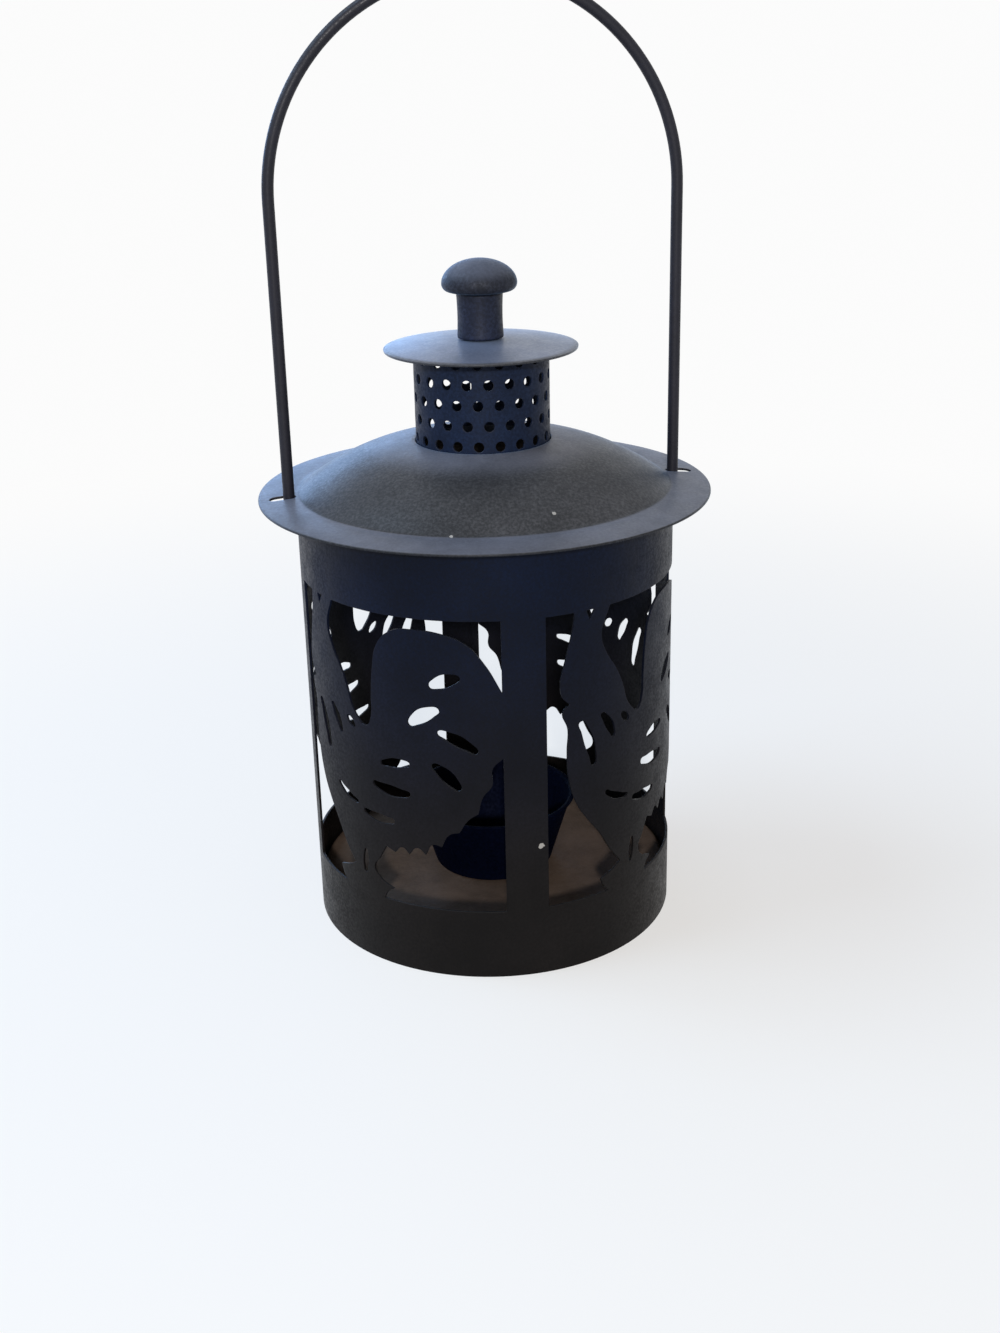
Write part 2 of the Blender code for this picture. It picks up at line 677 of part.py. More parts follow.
def make_collar(material, parent):
    """Perforated strip rolled to a tube, with tabs turned out under the roof."""
    facets = 2 * COLLAR_HOLES
    pitch = 2 * math.pi / facets
    slope = band_slope(NECK_RADIUS, FIRST_BAND)
    bend_out = math.pi / 2 - slope
    mid_bend = COLLAR_TAB_BEND + COLLAR_SHEET / 2
    under_roof = NECK_HEIGHT - ROOF_SHEET / math.cos(slope) - GAP
    low = under_roof - COLLAR_TAB_BEND / 2
    tab = mid_bend * bend_out + COLLAR_TAB_LENGTH

    drawing = flat_curve("collar_punch", 8 * COLLAR_SHEET, 1)
    for row in range(COLLAR_ROWS):
        height = NECK_HEIGHT + COLLAR_FIRST_ROW + COLLAR_ROW_PITCH * row
        for i in range(COLLAR_HOLES):
            angle = pitch * (2 * i + row % 2 - COLLAR_HOLES + 0.5)
            add_round_hole(drawing, (angle * COLLAR_RADIUS, height),
                           COLLAR_HOLE_RADIUS, COLLAR_HOLE_SIDES)
    tab_pitch = 2 * math.pi * COLLAR_RADIUS / COLLAR_TABS
    half_notch = (tab_pitch - COLLAR_TAB_WIDTH) / 2
    beyond = low - tab - COLLAR_SHEET
    for i in range(COLLAR_TABS + 1):
        middle = tab_pitch * (i - COLLAR_TABS / 2)
        add_polygon(drawing, [(middle - half_notch, low), (middle + half_notch, low),
                              (middle + half_notch, beyond), (middle - half_notch, beyond)])

    half_length = math.pi * COLLAR_RADIUS - COLLAR_SEAM / 2
    end = half_length / COLLAR_RADIUS
    bends = [-end] + [pitch * i for i in range(1 - COLLAR_HOLES, COLLAR_HOLES)] + [end]
    folds = [low, low - mid_bend * bend_out]
    half = COLLAR_SHEET / 2
    section = [(half, low - tab), (half, COLLAR_TOP), (-half, COLLAR_TOP), (-half, low - tab)]
    shape = scored_strip(section, half_length,
                         [angle * COLLAR_RADIUS for angle in bends[1:-1]], folds)
    shape = punched("vent_collar", shape, drawing)
    for vert in shape.verts:
        along, height, depth = vert.co
        out, up = fold(height, depth, low, bend_out)
        vert.co = (along, up, out)
    return rolled_part("vent_collar", shape, bends, collar_point, COLLAR_RADIUS, material, parent)


def cap_surface(radius):
    """Height of the cap's upper surface, a shallow dome that clears the collar."""
    seat = COLLAR_TOP + GAP + CAP_SHEET
    return seat + CAP_DOME * (COLLAR_RADIUS ** 2 - radius ** 2) / CAP_RADIUS ** 2


def make_cap(material, parent):
    """Shallow disc over the vent."""
    steps = 2
    profile = []
    for i in range(steps + 1):
        radius = SCREW_HOLE + (CAP_RADIUS - SCREW_HOLE) * i / steps
        profile.append((radius, cap_surface(radius)))
    return turned("cap_disc", profile, material, facets=CAP_FACETS, sheet=CAP_SHEET, parent=parent)


def make_stem(material, parent):
    """Spacer tube between cap and knob, slightly waisted."""
    foot = cap_surface(SCREW_HOLE) + GAP
    steps = 2
    outer = []
    for i in range(steps + 1):
        share = 1 - i / steps
        radius = STEM_RADIUS - STEM_WAIST * math.sin(math.pi * share)
        outer.append((radius, foot + STEM_HEIGHT * share))
    bore = SCREW_RADIUS + GAP
    profile = outer + [(bore, foot), (bore, foot + STEM_HEIGHT)]
    return turned("knob_stem", profile, material, facets=STEM_FACETS, closed=True,
                  parent=parent)


def make_knob(material, parent):
    """Mushroom knob, turned solid, with a blind hole for the screw."""
    base = cap_surface(SCREW_HOLE) + GAP + STEM_HEIGHT + GAP
    dome_base = base + KNOB_LIP
    dome_height = KNOB_HEIGHT - KNOB_LIP
    steps = 6
    profile = []
    for i in range(steps + 1):
        angle = math.pi / 2 * (1 - i / steps)
        profile.append((KNOB_RADIUS * math.cos(angle), dome_base + dome_height * math.sin(angle)))
    for i in range(1, 4):
        angle = math.pi / 2 * i / 3
        profile.append((KNOB_RADIUS - KNOB_LIP * (1 - math.cos(angle)),
                        dome_base - KNOB_LIP * math.sin(angle)))
    hole = SCREW_RADIUS + GAP
    depth = SCREW_INTO_KNOB + GAP
    profile += [(hole, base), (hole, base + depth), (0, base + depth)]
    return turned("knob", profile, material, facets=KNOB_FACETS, parent=parent)


def make_screw(material, parent):
    """Screw from inside the vent, through cap and stem into the knob."""
    under = cap_surface(SCREW_HOLE) - CAP_SHEET - GAP - WASHER_THICKNESS - GAP
    tip = cap_surface(SCREW_HOLE) + GAP + STEM_HEIGHT + GAP + SCREW_INTO_KNOB
    bevel = 0.2 * SCREW_HEAD_HEIGHT
    profile = [
        (0, tip), (SCREW_RADIUS, tip), (SCREW_RADIUS, under), (SCREW_HEAD_RADIUS, under),
        (SCREW_HEAD_RADIUS, under - SCREW_HEAD_HEIGHT + bevel),
        (SCREW_HEAD_RADIUS - 2 * bevel, under - SCREW_HEAD_HEIGHT), (0, under - SCREW_HEAD_HEIGHT)]
    return turned("knob_screw", profile, material, facets=SCREW_FACETS, parent=parent)


def make_washer(material, parent):
    """Washer that spreads the screw's load on the cap."""
    top = cap_surface(SCREW_HOLE) - CAP_SHEET - GAP
    profile = [
        (WASHER_RADIUS, top), (WASHER_RADIUS, top - WASHER_THICKNESS),
        (SCREW_HOLE, top - WASHER_THICKNESS), (SCREW_HOLE, top)]
    return turned("knob_washer", profile, material, facets=WASHER_FACETS, closed=True,
                  parent=parent)


def build():
    """Makes every piece, with the lid riding on the bail."""
    black = (0.018, 0.020, 0.026)
    make_wall(paint("drum_paint", black, 0.55))
    make_floor(paint("floor_paint", (0.030, 0.028, 0.028), 0.50))
    make_cup(paint("cup_paint", (0.008, 0.009, 0.014), 0.45))
    make_rivet(paint("rivet_steel", (0.20, 0.20, 0.20), 0.45, 1.0))
    bail = make_bail(paint("bail_paint", (0.022, 0.022, 0.026), 0.45))
    lid = add_empty("lid_slide", (0, 0, WALL_HEIGHT), bail)
    make_roof(paint("roof_paint", (0.030, 0.033, 0.040), 0.50), lid)
    make_ring(paint("ring_paint", black, 0.55), lid)
    make_collar(paint("collar_paint", (0.012, 0.015, 0.026), 0.50), lid)
    make_cap(paint("cap_paint", (0.034, 0.038, 0.048), 0.45), lid)
    make_stem(paint("stem_paint", (0.018, 0.020, 0.030), 0.50), lid)
    make_knob(paint("knob_paint", (0.028, 0.030, 0.036), 0.48), lid)
    make_screw(paint("screw_steel", (0.35, 0.35, 0.34), 0.40, 1.0), lid)
    make_washer(paint("washer_steel", (0.38, 0.38, 0.37), 0.40, 1.0), lid)


clear_scene()
LANTERN = new_collection("candle_lantern")
TOOLS = new_collection("cutters")
build()
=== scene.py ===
"""Looks of the small candle lantern: satin black paint on punched and rolled sheet steel.

The fixed frame gives every place and overall size. Each sheet, wire and turned
piece is made again here on a fine mesh and stands for its node of the frame. The
rivet, the screw and its washer keep the frame's own shape.
"""

import math

import bmesh
import bpy
from mathutils import Matrix, Vector


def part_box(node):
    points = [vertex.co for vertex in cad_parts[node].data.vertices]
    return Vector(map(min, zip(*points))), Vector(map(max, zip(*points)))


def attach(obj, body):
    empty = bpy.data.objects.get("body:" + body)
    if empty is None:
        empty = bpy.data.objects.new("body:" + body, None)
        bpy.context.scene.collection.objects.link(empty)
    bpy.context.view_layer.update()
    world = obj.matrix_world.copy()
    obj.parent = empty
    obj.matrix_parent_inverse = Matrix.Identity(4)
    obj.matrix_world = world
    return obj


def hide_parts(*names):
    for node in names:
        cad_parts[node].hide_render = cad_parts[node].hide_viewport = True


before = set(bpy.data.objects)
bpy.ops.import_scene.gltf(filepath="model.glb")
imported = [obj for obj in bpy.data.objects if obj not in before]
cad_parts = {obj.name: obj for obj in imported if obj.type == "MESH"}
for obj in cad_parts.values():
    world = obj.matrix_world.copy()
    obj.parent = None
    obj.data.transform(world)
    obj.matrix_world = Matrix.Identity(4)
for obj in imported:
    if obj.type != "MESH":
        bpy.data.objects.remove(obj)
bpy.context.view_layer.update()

# Sizes read from the frame
WALL_LOW, WALL_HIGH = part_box("body_wall")
FLOOR_LOW, FLOOR_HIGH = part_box("floor_pan")
CUP_LOW, CUP_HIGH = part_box("candle_cup")
BAIL_LOW, BAIL_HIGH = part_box("bail")
ROOF_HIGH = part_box("roof")[1]
RING_LOW, RING_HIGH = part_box("lid_ring")
VENT_LOW, VENT_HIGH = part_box("vent_collar")
CAP_LOW, CAP_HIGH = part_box("cap_disc")
STEM_LOW, STEM_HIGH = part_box("knob_stem")
KNOB_LOW, KNOB_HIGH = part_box("knob")

# Sheet, wire and fits
SHEET = 0.0006
GAP = 0.0003                  # clearance between pieces that touch
MERGE = 0.000005              # distance at which doubled points are welded
CUT_THROUGH = 8               # thickness of a punch, in sheets
EDGE = 0.00012                # radius that the paint gives to a sheet's edge
SHARP_EDGE = 50               # degrees between two faces from which their edge is rounded
SMOOTH_EDGE = 35              # degrees between two faces up to which they are shaded as one
FILLET_SHARE = 0.45           # most of a straight run that one fillet takes
ROLLED_FACE = 0.9             # how squarely a face looks outward if it is shaded as rolled
WIRE_RADIUS = (BAIL_HIGH.y - BAIL_LOW.y) / 2

# Drum
BODY_RADIUS = -WALL_LOW.y
WALL_HEIGHT = WALL_HIGH.z
HEM_HEIGHT = 0.0024           # bottom edge folded inward, the resting edge
LAP_WIDTH = 0.0050            # where the sheet's ends lie over each other
LAP_STEP = 0.0025             # run over which the upper end rises
LAP_START = math.pi - LAP_WIDTH / 2 / BODY_RADIUS  # its angle from the front
DRUM_FACETS = 128
LEAST_FLAT = 0.2              # width of the narrowest flat, as a share of the others
WINDOWS = 4
POST_WIDTH = 0.0112
SILL_HEIGHT = 0.0195
HEAD_BAND = 0.0202            # plain sheet above the windows
WINDOW_TOP = WALL_HEIGHT - HEAD_BAND
HINGE_DROP = 0.0055           # below the wall's top edge
HINGE_HEIGHT = WALL_HEIGHT - HINGE_DROP
HINGE_PLAY = 0.0005
HINGE_HOLE = WIRE_RADIUS + HINGE_PLAY
SEAM_WELDS = 3                # spot welds down the lap
WELD_RADIUS = 0.0015
WELD_DEPTH = 0.0002

# Outline of a weld: how far out and up, in shares of its radius and depth
WELD_DIMPLE = [(0, -0.2), (0.45, -0.2), (0.75, 0.15), (1, -1), (0, -1)]

# Floor and cup
FLOOR_BEND = 0.0015
RIVET_HOLE = 0.0023
CUP_RIM_RADIUS = 0.0225
CUP_BASE_RADIUS = 0.0165
CUP_LIP = 0.0010              # rolled edge standing out from the rim

# Bail
LEG_RADIUS = BAIL_HIGH.x - WIRE_RADIUS
WIRE_BEND = 0.0022            # to the middle of the wire
HOOK_REACH = 0.0020           # straight wire inside the wall
HOOK_TAIL = HINGE_HEIGHT - WIRE_BEND - BAIL_LOW.z
ARCH_HEIGHT = BAIL_HIGH.z - WIRE_RADIUS - LEG_RADIUS

# Roof
NECK_RADIUS = 0.01795
NECK_HEIGHT = ROOF_HIGH.z
ROOF_FOOT = WALL_HEIGHT + GAP + SHEET
ROOF_FOOT_INSET = 0.0007      # foot of the cone, inside the wall's radius
ROOF_FOOT_RADIUS = BODY_RADIUS - ROOF_FOOT_INSET
ROOF_BULGE = 0.0026           # how far the cone swells from a straight one
ROOF_CREASE = 0.0030          # radius of the bend between cone and brim
ROOF_STEPS = 24
BRIM_RADIUS = ROOF_HIGH.x
BRIM_DROP = 0.0005
BRIM_LIP = 0.0010             # edge turned down
BRIM_FALL = 0.0009            # how far the brim curves down to its edge
BRIM_STEPS = 6
BRIM_BEND = 0.0005
SLOT_CLEARANCE = 0.0003       # each side of the wire
SLOT_OUTWARD = 0.0052         # slot beyond the middle of the wire
SLOT_INWARD = 0.0019

# Plug ring under the roof
RING_RADIUS = RING_HIGH.x
RING_FLANGE = 0.0040
RING_NOTCH_WIDTH = 0.0070     # open notch that clears the bail's hook
RING_NOTCH_ROOM = 0.0020      # above the hook

# Vent collar
COLLAR_RADIUS = 0.01765
COLLAR_SHEET = 0.0005
COLLAR_TOP = VENT_HIGH.z
COLLAR_FOOT = VENT_LOW.z + 0.0018  # above the tabs that the roof hides
COLLAR_HOLES = 20             # in each row
COLLAR_ROWS = 5
COLLAR_ROW_PITCH = 0.00523
COLLAR_FIRST_ROW = 0.0016     # above the roof's neck
COLLAR_HOLE_RADIUS = 0.00135
COLLAR_FACETS = 120
COLLAR_SEAM = 0.0003          # open butt joint at the back

# Cap, stem and knob
CAP_RADIUS = CAP_HIGH.x
CAP_STEPS = 12
CAP_HOLE = 0.0023
STEM_RADIUS = STEM_HIGH.x
STEM_WAIST = 0.0002           # how much thinner the stem is halfway up
STEM_EDGE = 0.0003
STEM_STEPS = 16
KNOB_RADIUS = KNOB_HIGH.x
KNOB_LIP = 0.0019             # thickness of the mushroom's rim
KNOB_BORE = 0.0053            # depth of the blind hole for the screw
KNOB_STEPS = 24
KNOB_LIP_STEPS = 8

# Facets round the turned pieces
TURNED_FACETS = 144
CUP_FACETS = 96
KNOB_FACETS = 96
STEM_FACETS = 72
WELD_FACETS = 32

# Outlines of one window, in hundredths of its width and of its height, seen
# from outside. A point marked C is a corner, and the others are smooth.
C = "corner"
FRONT_OPENING = [
    (0, 0, C), (0, 100, C), (11.7, 100, C), (11.0, 95.5), (8.9, 88.5), (5.6, 78.5, C),
    (6.2, 73.0), (9.6, 69.8, C), (6.6, 68.0), (8.6, 61.5), (8.2, 54.0), (8.8, 44.0),
    (12.3, 34.8), (17.2, 28.3), (22.6, 22.4), (28.2, 14.8), (33.8, 9.0, C),
    (28.8, 6.8), (23.2, 5.2, C), (24.6, 2.4), (27.2, 0, C),
]
REAR_OPENING = [
    (49.0, 0, C), (50.8, 2.6), (53.8, 4.4, C), (47.6, 6.6), (44.6, 10.2),
    (48.0, 15.0), (51.2, 19.6, C), (55.4, 18.2, C), (58.6, 20.6), (61.8, 18.6, C),
    (65.2, 21.4), (68.8, 19.4, C), (71.8, 23.4), (75.4, 23.0, C), (78.4, 27.4),
    (82.6, 28.6, C), (86.0, 33.0), (90.0, 35.4, C), (92.0, 41.4), (95.6, 45.4),
    (95.8, 51.0), (100, 54.5, C), (100, 0, C),
]
TOP_OPENING = [
    (27.4, 100, C), (23.4, 91.0), (25.8, 84.6), (30.8, 78.2), (34.4, 72.0),
    (37.0, 65.6), (41.6, 61.0, C), (44.4, 61.0), (46.8, 64.6), (47.4, 72.0),
    (48.6, 81.4), (51.2, 89.6), (57.6, 95.0), (67.4, 96.3), (77.7, 95.6), (86.6, 92.8),
    (93.8, 86.0), (100, 76.5, C), (100, 100, C),
]
COMB_NOTCH = [(16.6, 100, C), (18.0, 96.6, C), (20.4, 100, C)]

# Feather cuts: start, end, width as a share of the window's width, and bow
FEATHER_CUTS = [
    ((13.8, 63.4), (19.8, 47.2), 3.6, 1.2),
    ((23.4, 64.4), (29.6, 55.0), 3.2, 0.8),
    ((33.6, 62.2), (38.0, 58.8), 2.6, 0.0),
    ((25.4, 36.8), (37.6, 32.4), 2.4, -1.2),
    ((40.4, 30.4), (55.8, 29.4), 3.2, -1.0),
    ((46.0, 41.6), (63.4, 40.2), 3.8, -1.0),
    ((50.4, 49.0), (63.6, 50.6), 3.2, 0.6),
    ((72.6, 51.8), (83.4, 43.4), 4.4, 0.8),
    ((75.2, 63.0), (90.4, 56.4), 3.8, 1.0),
    ((63.8, 64.4), (76.2, 70.6), 4.6, 1.0),
    ((72.6, 78.0), (84.6, 81.6), 4.4, 0.6),
    ((39.4, 7.0), (40.4, 16.0), 2.4, 0.0),
]

# Studio
WHITE = 0.97                  # how bright the background looks
WORLD = 0.21                  # how much it lights the lantern
FLOOR_GLOW = 0.55             # how much of the near floor is background white
FLOOR_RUNS_OUT = (0.11, 0.52)  # distances between which the floor fades to the background
FLOOR_SEEN = (0.990, 0.935, 0.870)
FLOOR_UNSEEN = (0.62, 0.62, 0.62)  # its tone where it only lights the lantern
FLOOR_RADIUS = 8
LAMP_AIM = Vector((0, 0, 0.12))

# Lamps: name, place, width and height, power and colour
SOFTBOXES = [
    ("sky_behind", (-0.84, 1.59, 0.47), (2.4, 0.45), 17.5, (0.23, 0.50, 1.0)),
    ("key_left", (-0.84, 0.10, 1.08), (0.9, 0.9), 13.5, (0.52, 0.73, 1.0)),
    ("fill_right", (0.9, -0.7, 0.8), (0.8, 0.8), 0.3, (0.74, 0.84, 1.0)),
    ("front", (-0.33, -1.80, 0.79), (0.10, 0.10), 26.0, (1.0, 0.97, 0.94)),
]

# Camera, found from the rims and edges in the photo
PHOTO_SIZE = (1000, 1333)
FOCAL_PIXELS = 1656
SENSOR = 36.0
VIEW_TURN = math.radians(10.3)     # from the photo's straight-on view to the part's front
EYE = Vector((0.0030, -0.4276, 0.2374))
EYE_RIGHT = Vector((0.99976, -0.00864, -0.02188))
EYE_DOWN = Vector((-0.02353, -0.36721, -0.92987))

# Paint chips: centre on the surface, and radius
POST_CHIP = (Vector((0.0038, -0.0498, 0.0378)), 0.0008)
ROOF_CHIP = (Vector((0.0093, -0.0435, 0.1243)), 0.0006)
BRIM_CHIP = (Vector((-0.0165, -0.0463, 0.1212)), 0.0005)
CHIP_WOBBLE = 1.4             # how far a chip's outline strays, in radii
CHIP_CORE = 0.8               # full chip within this share of its radius

# Colours and sizes that several paints share
DUST = (0.148, 0.148, 0.160)
# Blue sheen tint: a painted reflection of the blue light
SHEEN_PAINTED_BLUE = (0.36, 0.60, 1.0)
SHEEN_ROUGHNESS = 0.35
COAT_ROUGHNESS = 0.36
COAT_IOR = 1.3
WORN_EDGE = (0.108, 0.103, 0.101)
BARE_METAL = (0.36, 0.34, 0.31)
EDGE_WEAR = 0.00022           # how far the wear reaches from an edge
WORN_TURN = (0.985, 0.80)     # cosine of the turn at an edge, from no wear to full wear
PAINTED_REFLECTION_HEIGHTS = (0.020, 0.115)         # heights between which a paint's tone changes: a painted reflection, warm low down and blue high up
HAZE_AND_TOP_LIGHT = (0.25, 0.80)           # how far a surface turns up before its paint turns lighter: a haze, with painted light from above

# Unevenness of the paint and the plating
CLOUD_TONES = (0.75, 1.28)    # darkest and lightest patch of a paint
UNEVEN_GLOSS = 0.06           # roughness more or less, in patches
SPARKLE = 0.10                # the same, from grain to grain
RELIEF = 0.0001               # height of the grain
STAIN_TONE = 0.45             # how dark a stain leaves the plating
BRUSHED_GLOSS = 0.1
BRUSHED_RELIEF = 0.00003

# Fineness of the patterns in the paint and the plating, in waves per metre
CLOUDS = 38
DUST_PATCHES = 75
GLOSS_PATCHES = 160
WEAR_PATCHES = 240
ORANGE_PEEL = 420
GRIT = 1300
CHIP_OUTLINE = 1500
STAINS = 520
BRUSHING = 1800


# Shapes

def rounded(profile, steps=4):
    """Profile with an arc in place of each point that has a fillet radius."""
    points = []
    for i, (r, z, *fillet) in enumerate(profile):
        if not fillet:
            points.append((r, z))
            continue
        before, after = profile[i - 1], profile[i + 1]
        ways = []
        for other in (before, after):
            dr, dz = other[0] - r, other[1] - z
            size = math.hypot(dr, dz)
            ways.append((dr / size, dz / size, size))
        half = math.acos(ways[0][0] * ways[1][0] + ways[0][1] * ways[1][1]) / 2
        reach = min(fillet[0] / math.tan(half), FILLET_SHARE * ways[0][2],
                    FILLET_SHARE * ways[1][2])
        radius = reach * math.tan(half)
        middle = [(ways[0][k] + ways[1][k]) for k in (0, 1)]
        size = math.hypot(*middle)
        centre = [(r, z)[k] + middle[k] / size * radius / math.sin(half) for k in (0, 1)]
        start = (r + ways[0][0] * reach, z + ways[0][1] * reach)
        end = (r + ways[1][0] * reach, z + ways[1][1] * reach)
        a0 = math.atan2(start[1] - centre[1], start[0] - centre[0])
        turn = math.atan2(end[1] - centre[1], end[0] - centre[0]) - a0
        turn = (turn + math.pi) % (2 * math.pi) - math.pi
        for step in range(steps + 1):
            angle = a0 + turn * step / steps
            points.append((centre[0] + radius * math.cos(angle),
                           centre[1] + radius * math.sin(angle)))
    return points


def new_object(name, data):
    piece = bpy.data.objects.new(name, data)
    bpy.context.scene.collection.objects.link(piece)
    return piece


def to_mesh(piece):
    """Evaluated mesh of an object, welded, with its faces pointing out."""
    graph = bpy.context.evaluated_depsgraph_get()
    mesh = bpy.data.meshes.new_from_object(piece.evaluated_get(graph), depsgraph=graph)
    shape = bmesh.new()
    shape.from_mesh(mesh)
    bmesh.ops.remove_doubles(shape, verts=shape.verts, dist=MERGE)
    bmesh.ops.recalc_face_normals(shape, faces=shape.faces[:])
    shape.to_mesh(mesh)
    shape.free()
    return mesh


def settled(piece):
    """The object with its modifiers applied, shaded smooth between its hard edges."""
    mesh = to_mesh(piece)
    name = piece.name
    bpy.data.objects.remove(piece, do_unlink=True)
    mesh.shade_smooth()
    mesh.set_sharp_from_angle(angle=math.radians(SMOOTH_EDGE))
    return new_object(name, mesh)


def soften(piece, width):
    """Rounds the hard edges as a coat of paint does."""
    bevel = piece.modifiers.new("Paint edge", "BEVEL")
    bevel.width = width
    bevel.segments = 2
    bevel.limit_method = "ANGLE"
    bevel.angle_limit = math.radians(SHARP_EDGE)
    bevel.use_clamp_overlap = True


def turned(name, profile, sheet=None, closed=False, cutters=(), edge=EDGE, facets=TURNED_FACETS):
    """Revolves a profile of (radius, height) points, running down its outer side."""
    mesh = bpy.data.meshes.new(name)
    edges = [(i, i + 1) for i in range(len(profile) - 1)]
    if closed:
        edges.append((len(profile) - 1, 0))
    mesh.from_pydata([(r, 0, z) for r, z in profile], edges, [])
    piece = new_object(name, mesh)
    screw = piece.modifiers.new("Revolve", "SCREW")
    screw.axis = "Z"
    screw.angle = 2 * math.pi
    screw.steps = screw.render_steps = facets
    screw.use_merge_vertices = True
    screw.merge_threshold = MERGE
    if sheet is not None:
        solidify = piece.modifiers.new("Sheet", "SOLIDIFY")
        solidify.thickness = sheet
        solidify.offset = -1
        solidify.use_even_offset = True
        solidify.use_quality_normals = True
    for cutter in cutters:
        boolean(piece, cutter)
    if edge:
        soften(piece, edge)
    piece = settled(piece)
    for cutter in cutters:
        bpy.data.objects.remove(cutter, do_unlink=True)
    return piece


def boolean(piece, cutter):
    """Cuts a piece with a cutter, with the exact solver."""
    modifier = piece.modifiers.new(cutter.name, "BOOLEAN")
    modifier.operation = "DIFFERENCE"
    modifier.solver = "EXACT"
    modifier.object = cutter


def flat_curve(name, thickness, resolution):
    """Empty flat drawing that fills between its outlines when they are added."""
    drawing = bpy.data.curves.new(name, "CURVE")
    drawing.dimensions = "2D"
    drawing.fill_mode = "BOTH"
    drawing.extrude = thickness / 2
    drawing.resolution_u = resolution
    return drawing


def curve_to_mesh(drawing):
    guide = new_object(drawing.name, drawing)
    mesh = to_mesh(guide)
    bpy.data.objects.remove(guide, do_unlink=True)
    return mesh


def add_polygon(drawing, points):
    spline = drawing.splines.new("POLY")
    spline.points.add(len(points) - 1)
    for target, (x, y) in zip(spline.points, points):
        target.co = (x, y, 0, 1)
    spline.use_cyclic_u = True


def add_smooth_outline(drawing, points):
    """Closed outline through points, smooth except where a point says corner."""
    spline = drawing.splines.new("BEZIER")
    spline.bezier_points.add(len(points) - 1)
    for target, (x, y, *corner) in zip(spline.bezier_points, points):
        target.co = (x, y, 0)
        kind = "VECTOR" if corner else "AUTO"
        target.handle_left_type = target.handle_right_type = kind
    spline.use_cyclic_u = True


def add_round_hole(drawing, centre, radius, sides):
    points = []
    for i in range(sides):
        angle = 2 * math.pi * (i + 0.5) / sides
        points.append((centre[0] + radius * math.cos(angle),
                       centre[1] + radius * math.sin(angle)))
    add_polygon(drawing, points)


def feather(start, end, width, bow):
    """Six points of a slit with pointed ends, bowed to one side."""
    along = (end[0] - start[0], end[1] - start[1])
    length = math.hypot(*along)
    across = (-along[1] / length, along[0] / length)
    points = []
    for share, side in ((0, 0), (0.25, 1), (0.75, 1), (1, 0), (0.75, -1), (0.25, -1)):
        off = 4 * share * (1 - share) * bow + side * width / 2
        points.append([start[k] + along[k] * share + across[k] * off for k in (0, 1)])
    return points


def add_window(drawing, left, width):
    """Punches one window round its rooster, starting at the window's left edge."""
    height = WINDOW_TOP - SILL_HEIGHT

    def placed(point):
        x, y, *corner = point
        return (left + width * x / 100, SILL_HEIGHT + height * y / 100, *corner)

    for outline in (FRONT_OPENING, REAR_OPENING, TOP_OPENING, COMB_NOTCH):
        add_smooth_outline(drawing, [placed(point) for point in outline])
    for start, end, share, bow in FEATHER_CUTS:
        scaled = [placed(point)[:2] for point in (start, end)]
        add_smooth_outline(drawing, feather(*scaled, width * share / 100, width * bow / 100))


def scored_strip(section, half_length, across):
    """Flat strip along X with a given cross-section, with edges at its bend lines."""
    drawing = flat_curve("section", 2 * half_length, resolution=1)
    add_polygon(drawing, section)
    mesh = curve_to_mesh(drawing)
    shape = bmesh.new()
    shape.from_mesh(mesh)
    bpy.data.meshes.remove(mesh)
    for vert in shape.verts:
        depth, height, run = vert.co
        vert.co = (run, height, depth)
    for x in across:
        everything = shape.verts[:] + shape.edges[:] + shape.faces[:]
        bmesh.ops.bisect_plane(shape, geom=everything, dist=MERGE / 5,
                               plane_co=(x, 0, 0), plane_no=(1, 0, 0))
    bmesh.ops.recalc_face_normals(shape, faces=shape.faces[:])
    return shape


def punched(name, shape, drawing):
    """Strip with the drawing's outlines cut out of it, as a new flat shape."""
    mesh = bpy.data.meshes.new(name)
    shape.to_mesh(mesh)
    shape.free()
    strip = new_object(name + "_blank", mesh)
    punch = new_object(name + "_punch", curve_to_mesh(drawing))
    boolean(strip, punch)
    result = bmesh.new()
    result.from_mesh(to_mesh(strip))
    bpy.data.objects.remove(strip, do_unlink=True)
    bpy.data.objects.remove(punch, do_unlink=True)
    return result


def rolled(name, shape, point_at):
    """Rolls a flat shape round the axis and shades it as a true cylinder."""
    for vert in shape.verts:
        vert.co = point_at(vert.co)
    mesh = bpy.data.meshes.new(name)
    shape.to_mesh(mesh)
    shape.free()
    mesh.shade_smooth()
    normals = []
    for face in mesh.polygons:
        for index in face.vertices:
            outward = mesh.vertices[index].co.copy()
            outward.z = 0
            outward.normalize()
            facing = face.normal.dot(outward)
            if abs(facing) > ROLLED_FACE:
                normals.append(outward * math.copysign(1, facing))
            else:
                normals.append(face.normal)
    mesh.normals_split_custom_set(normals)
    return new_object(name, mesh)


def arc(centre, radius, start, end, steps):
    """Points of an arc in a plane, angles in degrees from its first axis."""
    points = []
    for i in range(steps + 1):
        angle = math.radians(start + (end - start) * i / steps)
        points.append((centre[0] + radius * math.cos(angle),
                       centre[1] + radius * math.sin(angle)))
    return points


# Pieces

def drum_point(flat):
    """Place of a point of the flat sheet once it is rolled, with its over end raised."""
    angle = flat.x / BODY_RADIUS
    radius = BODY_RADIUS - SHEET / 2 + flat.z
    rise = (angle - LAP_START) * BODY_RADIUS / LAP_STEP + 1
    rise = min(max(rise, 0), 1)
    radius += (SHEET + GAP) * rise * rise * (3 - 2 * rise)
    return radius * math.sin(angle), -radius * math.cos(angle), flat.y


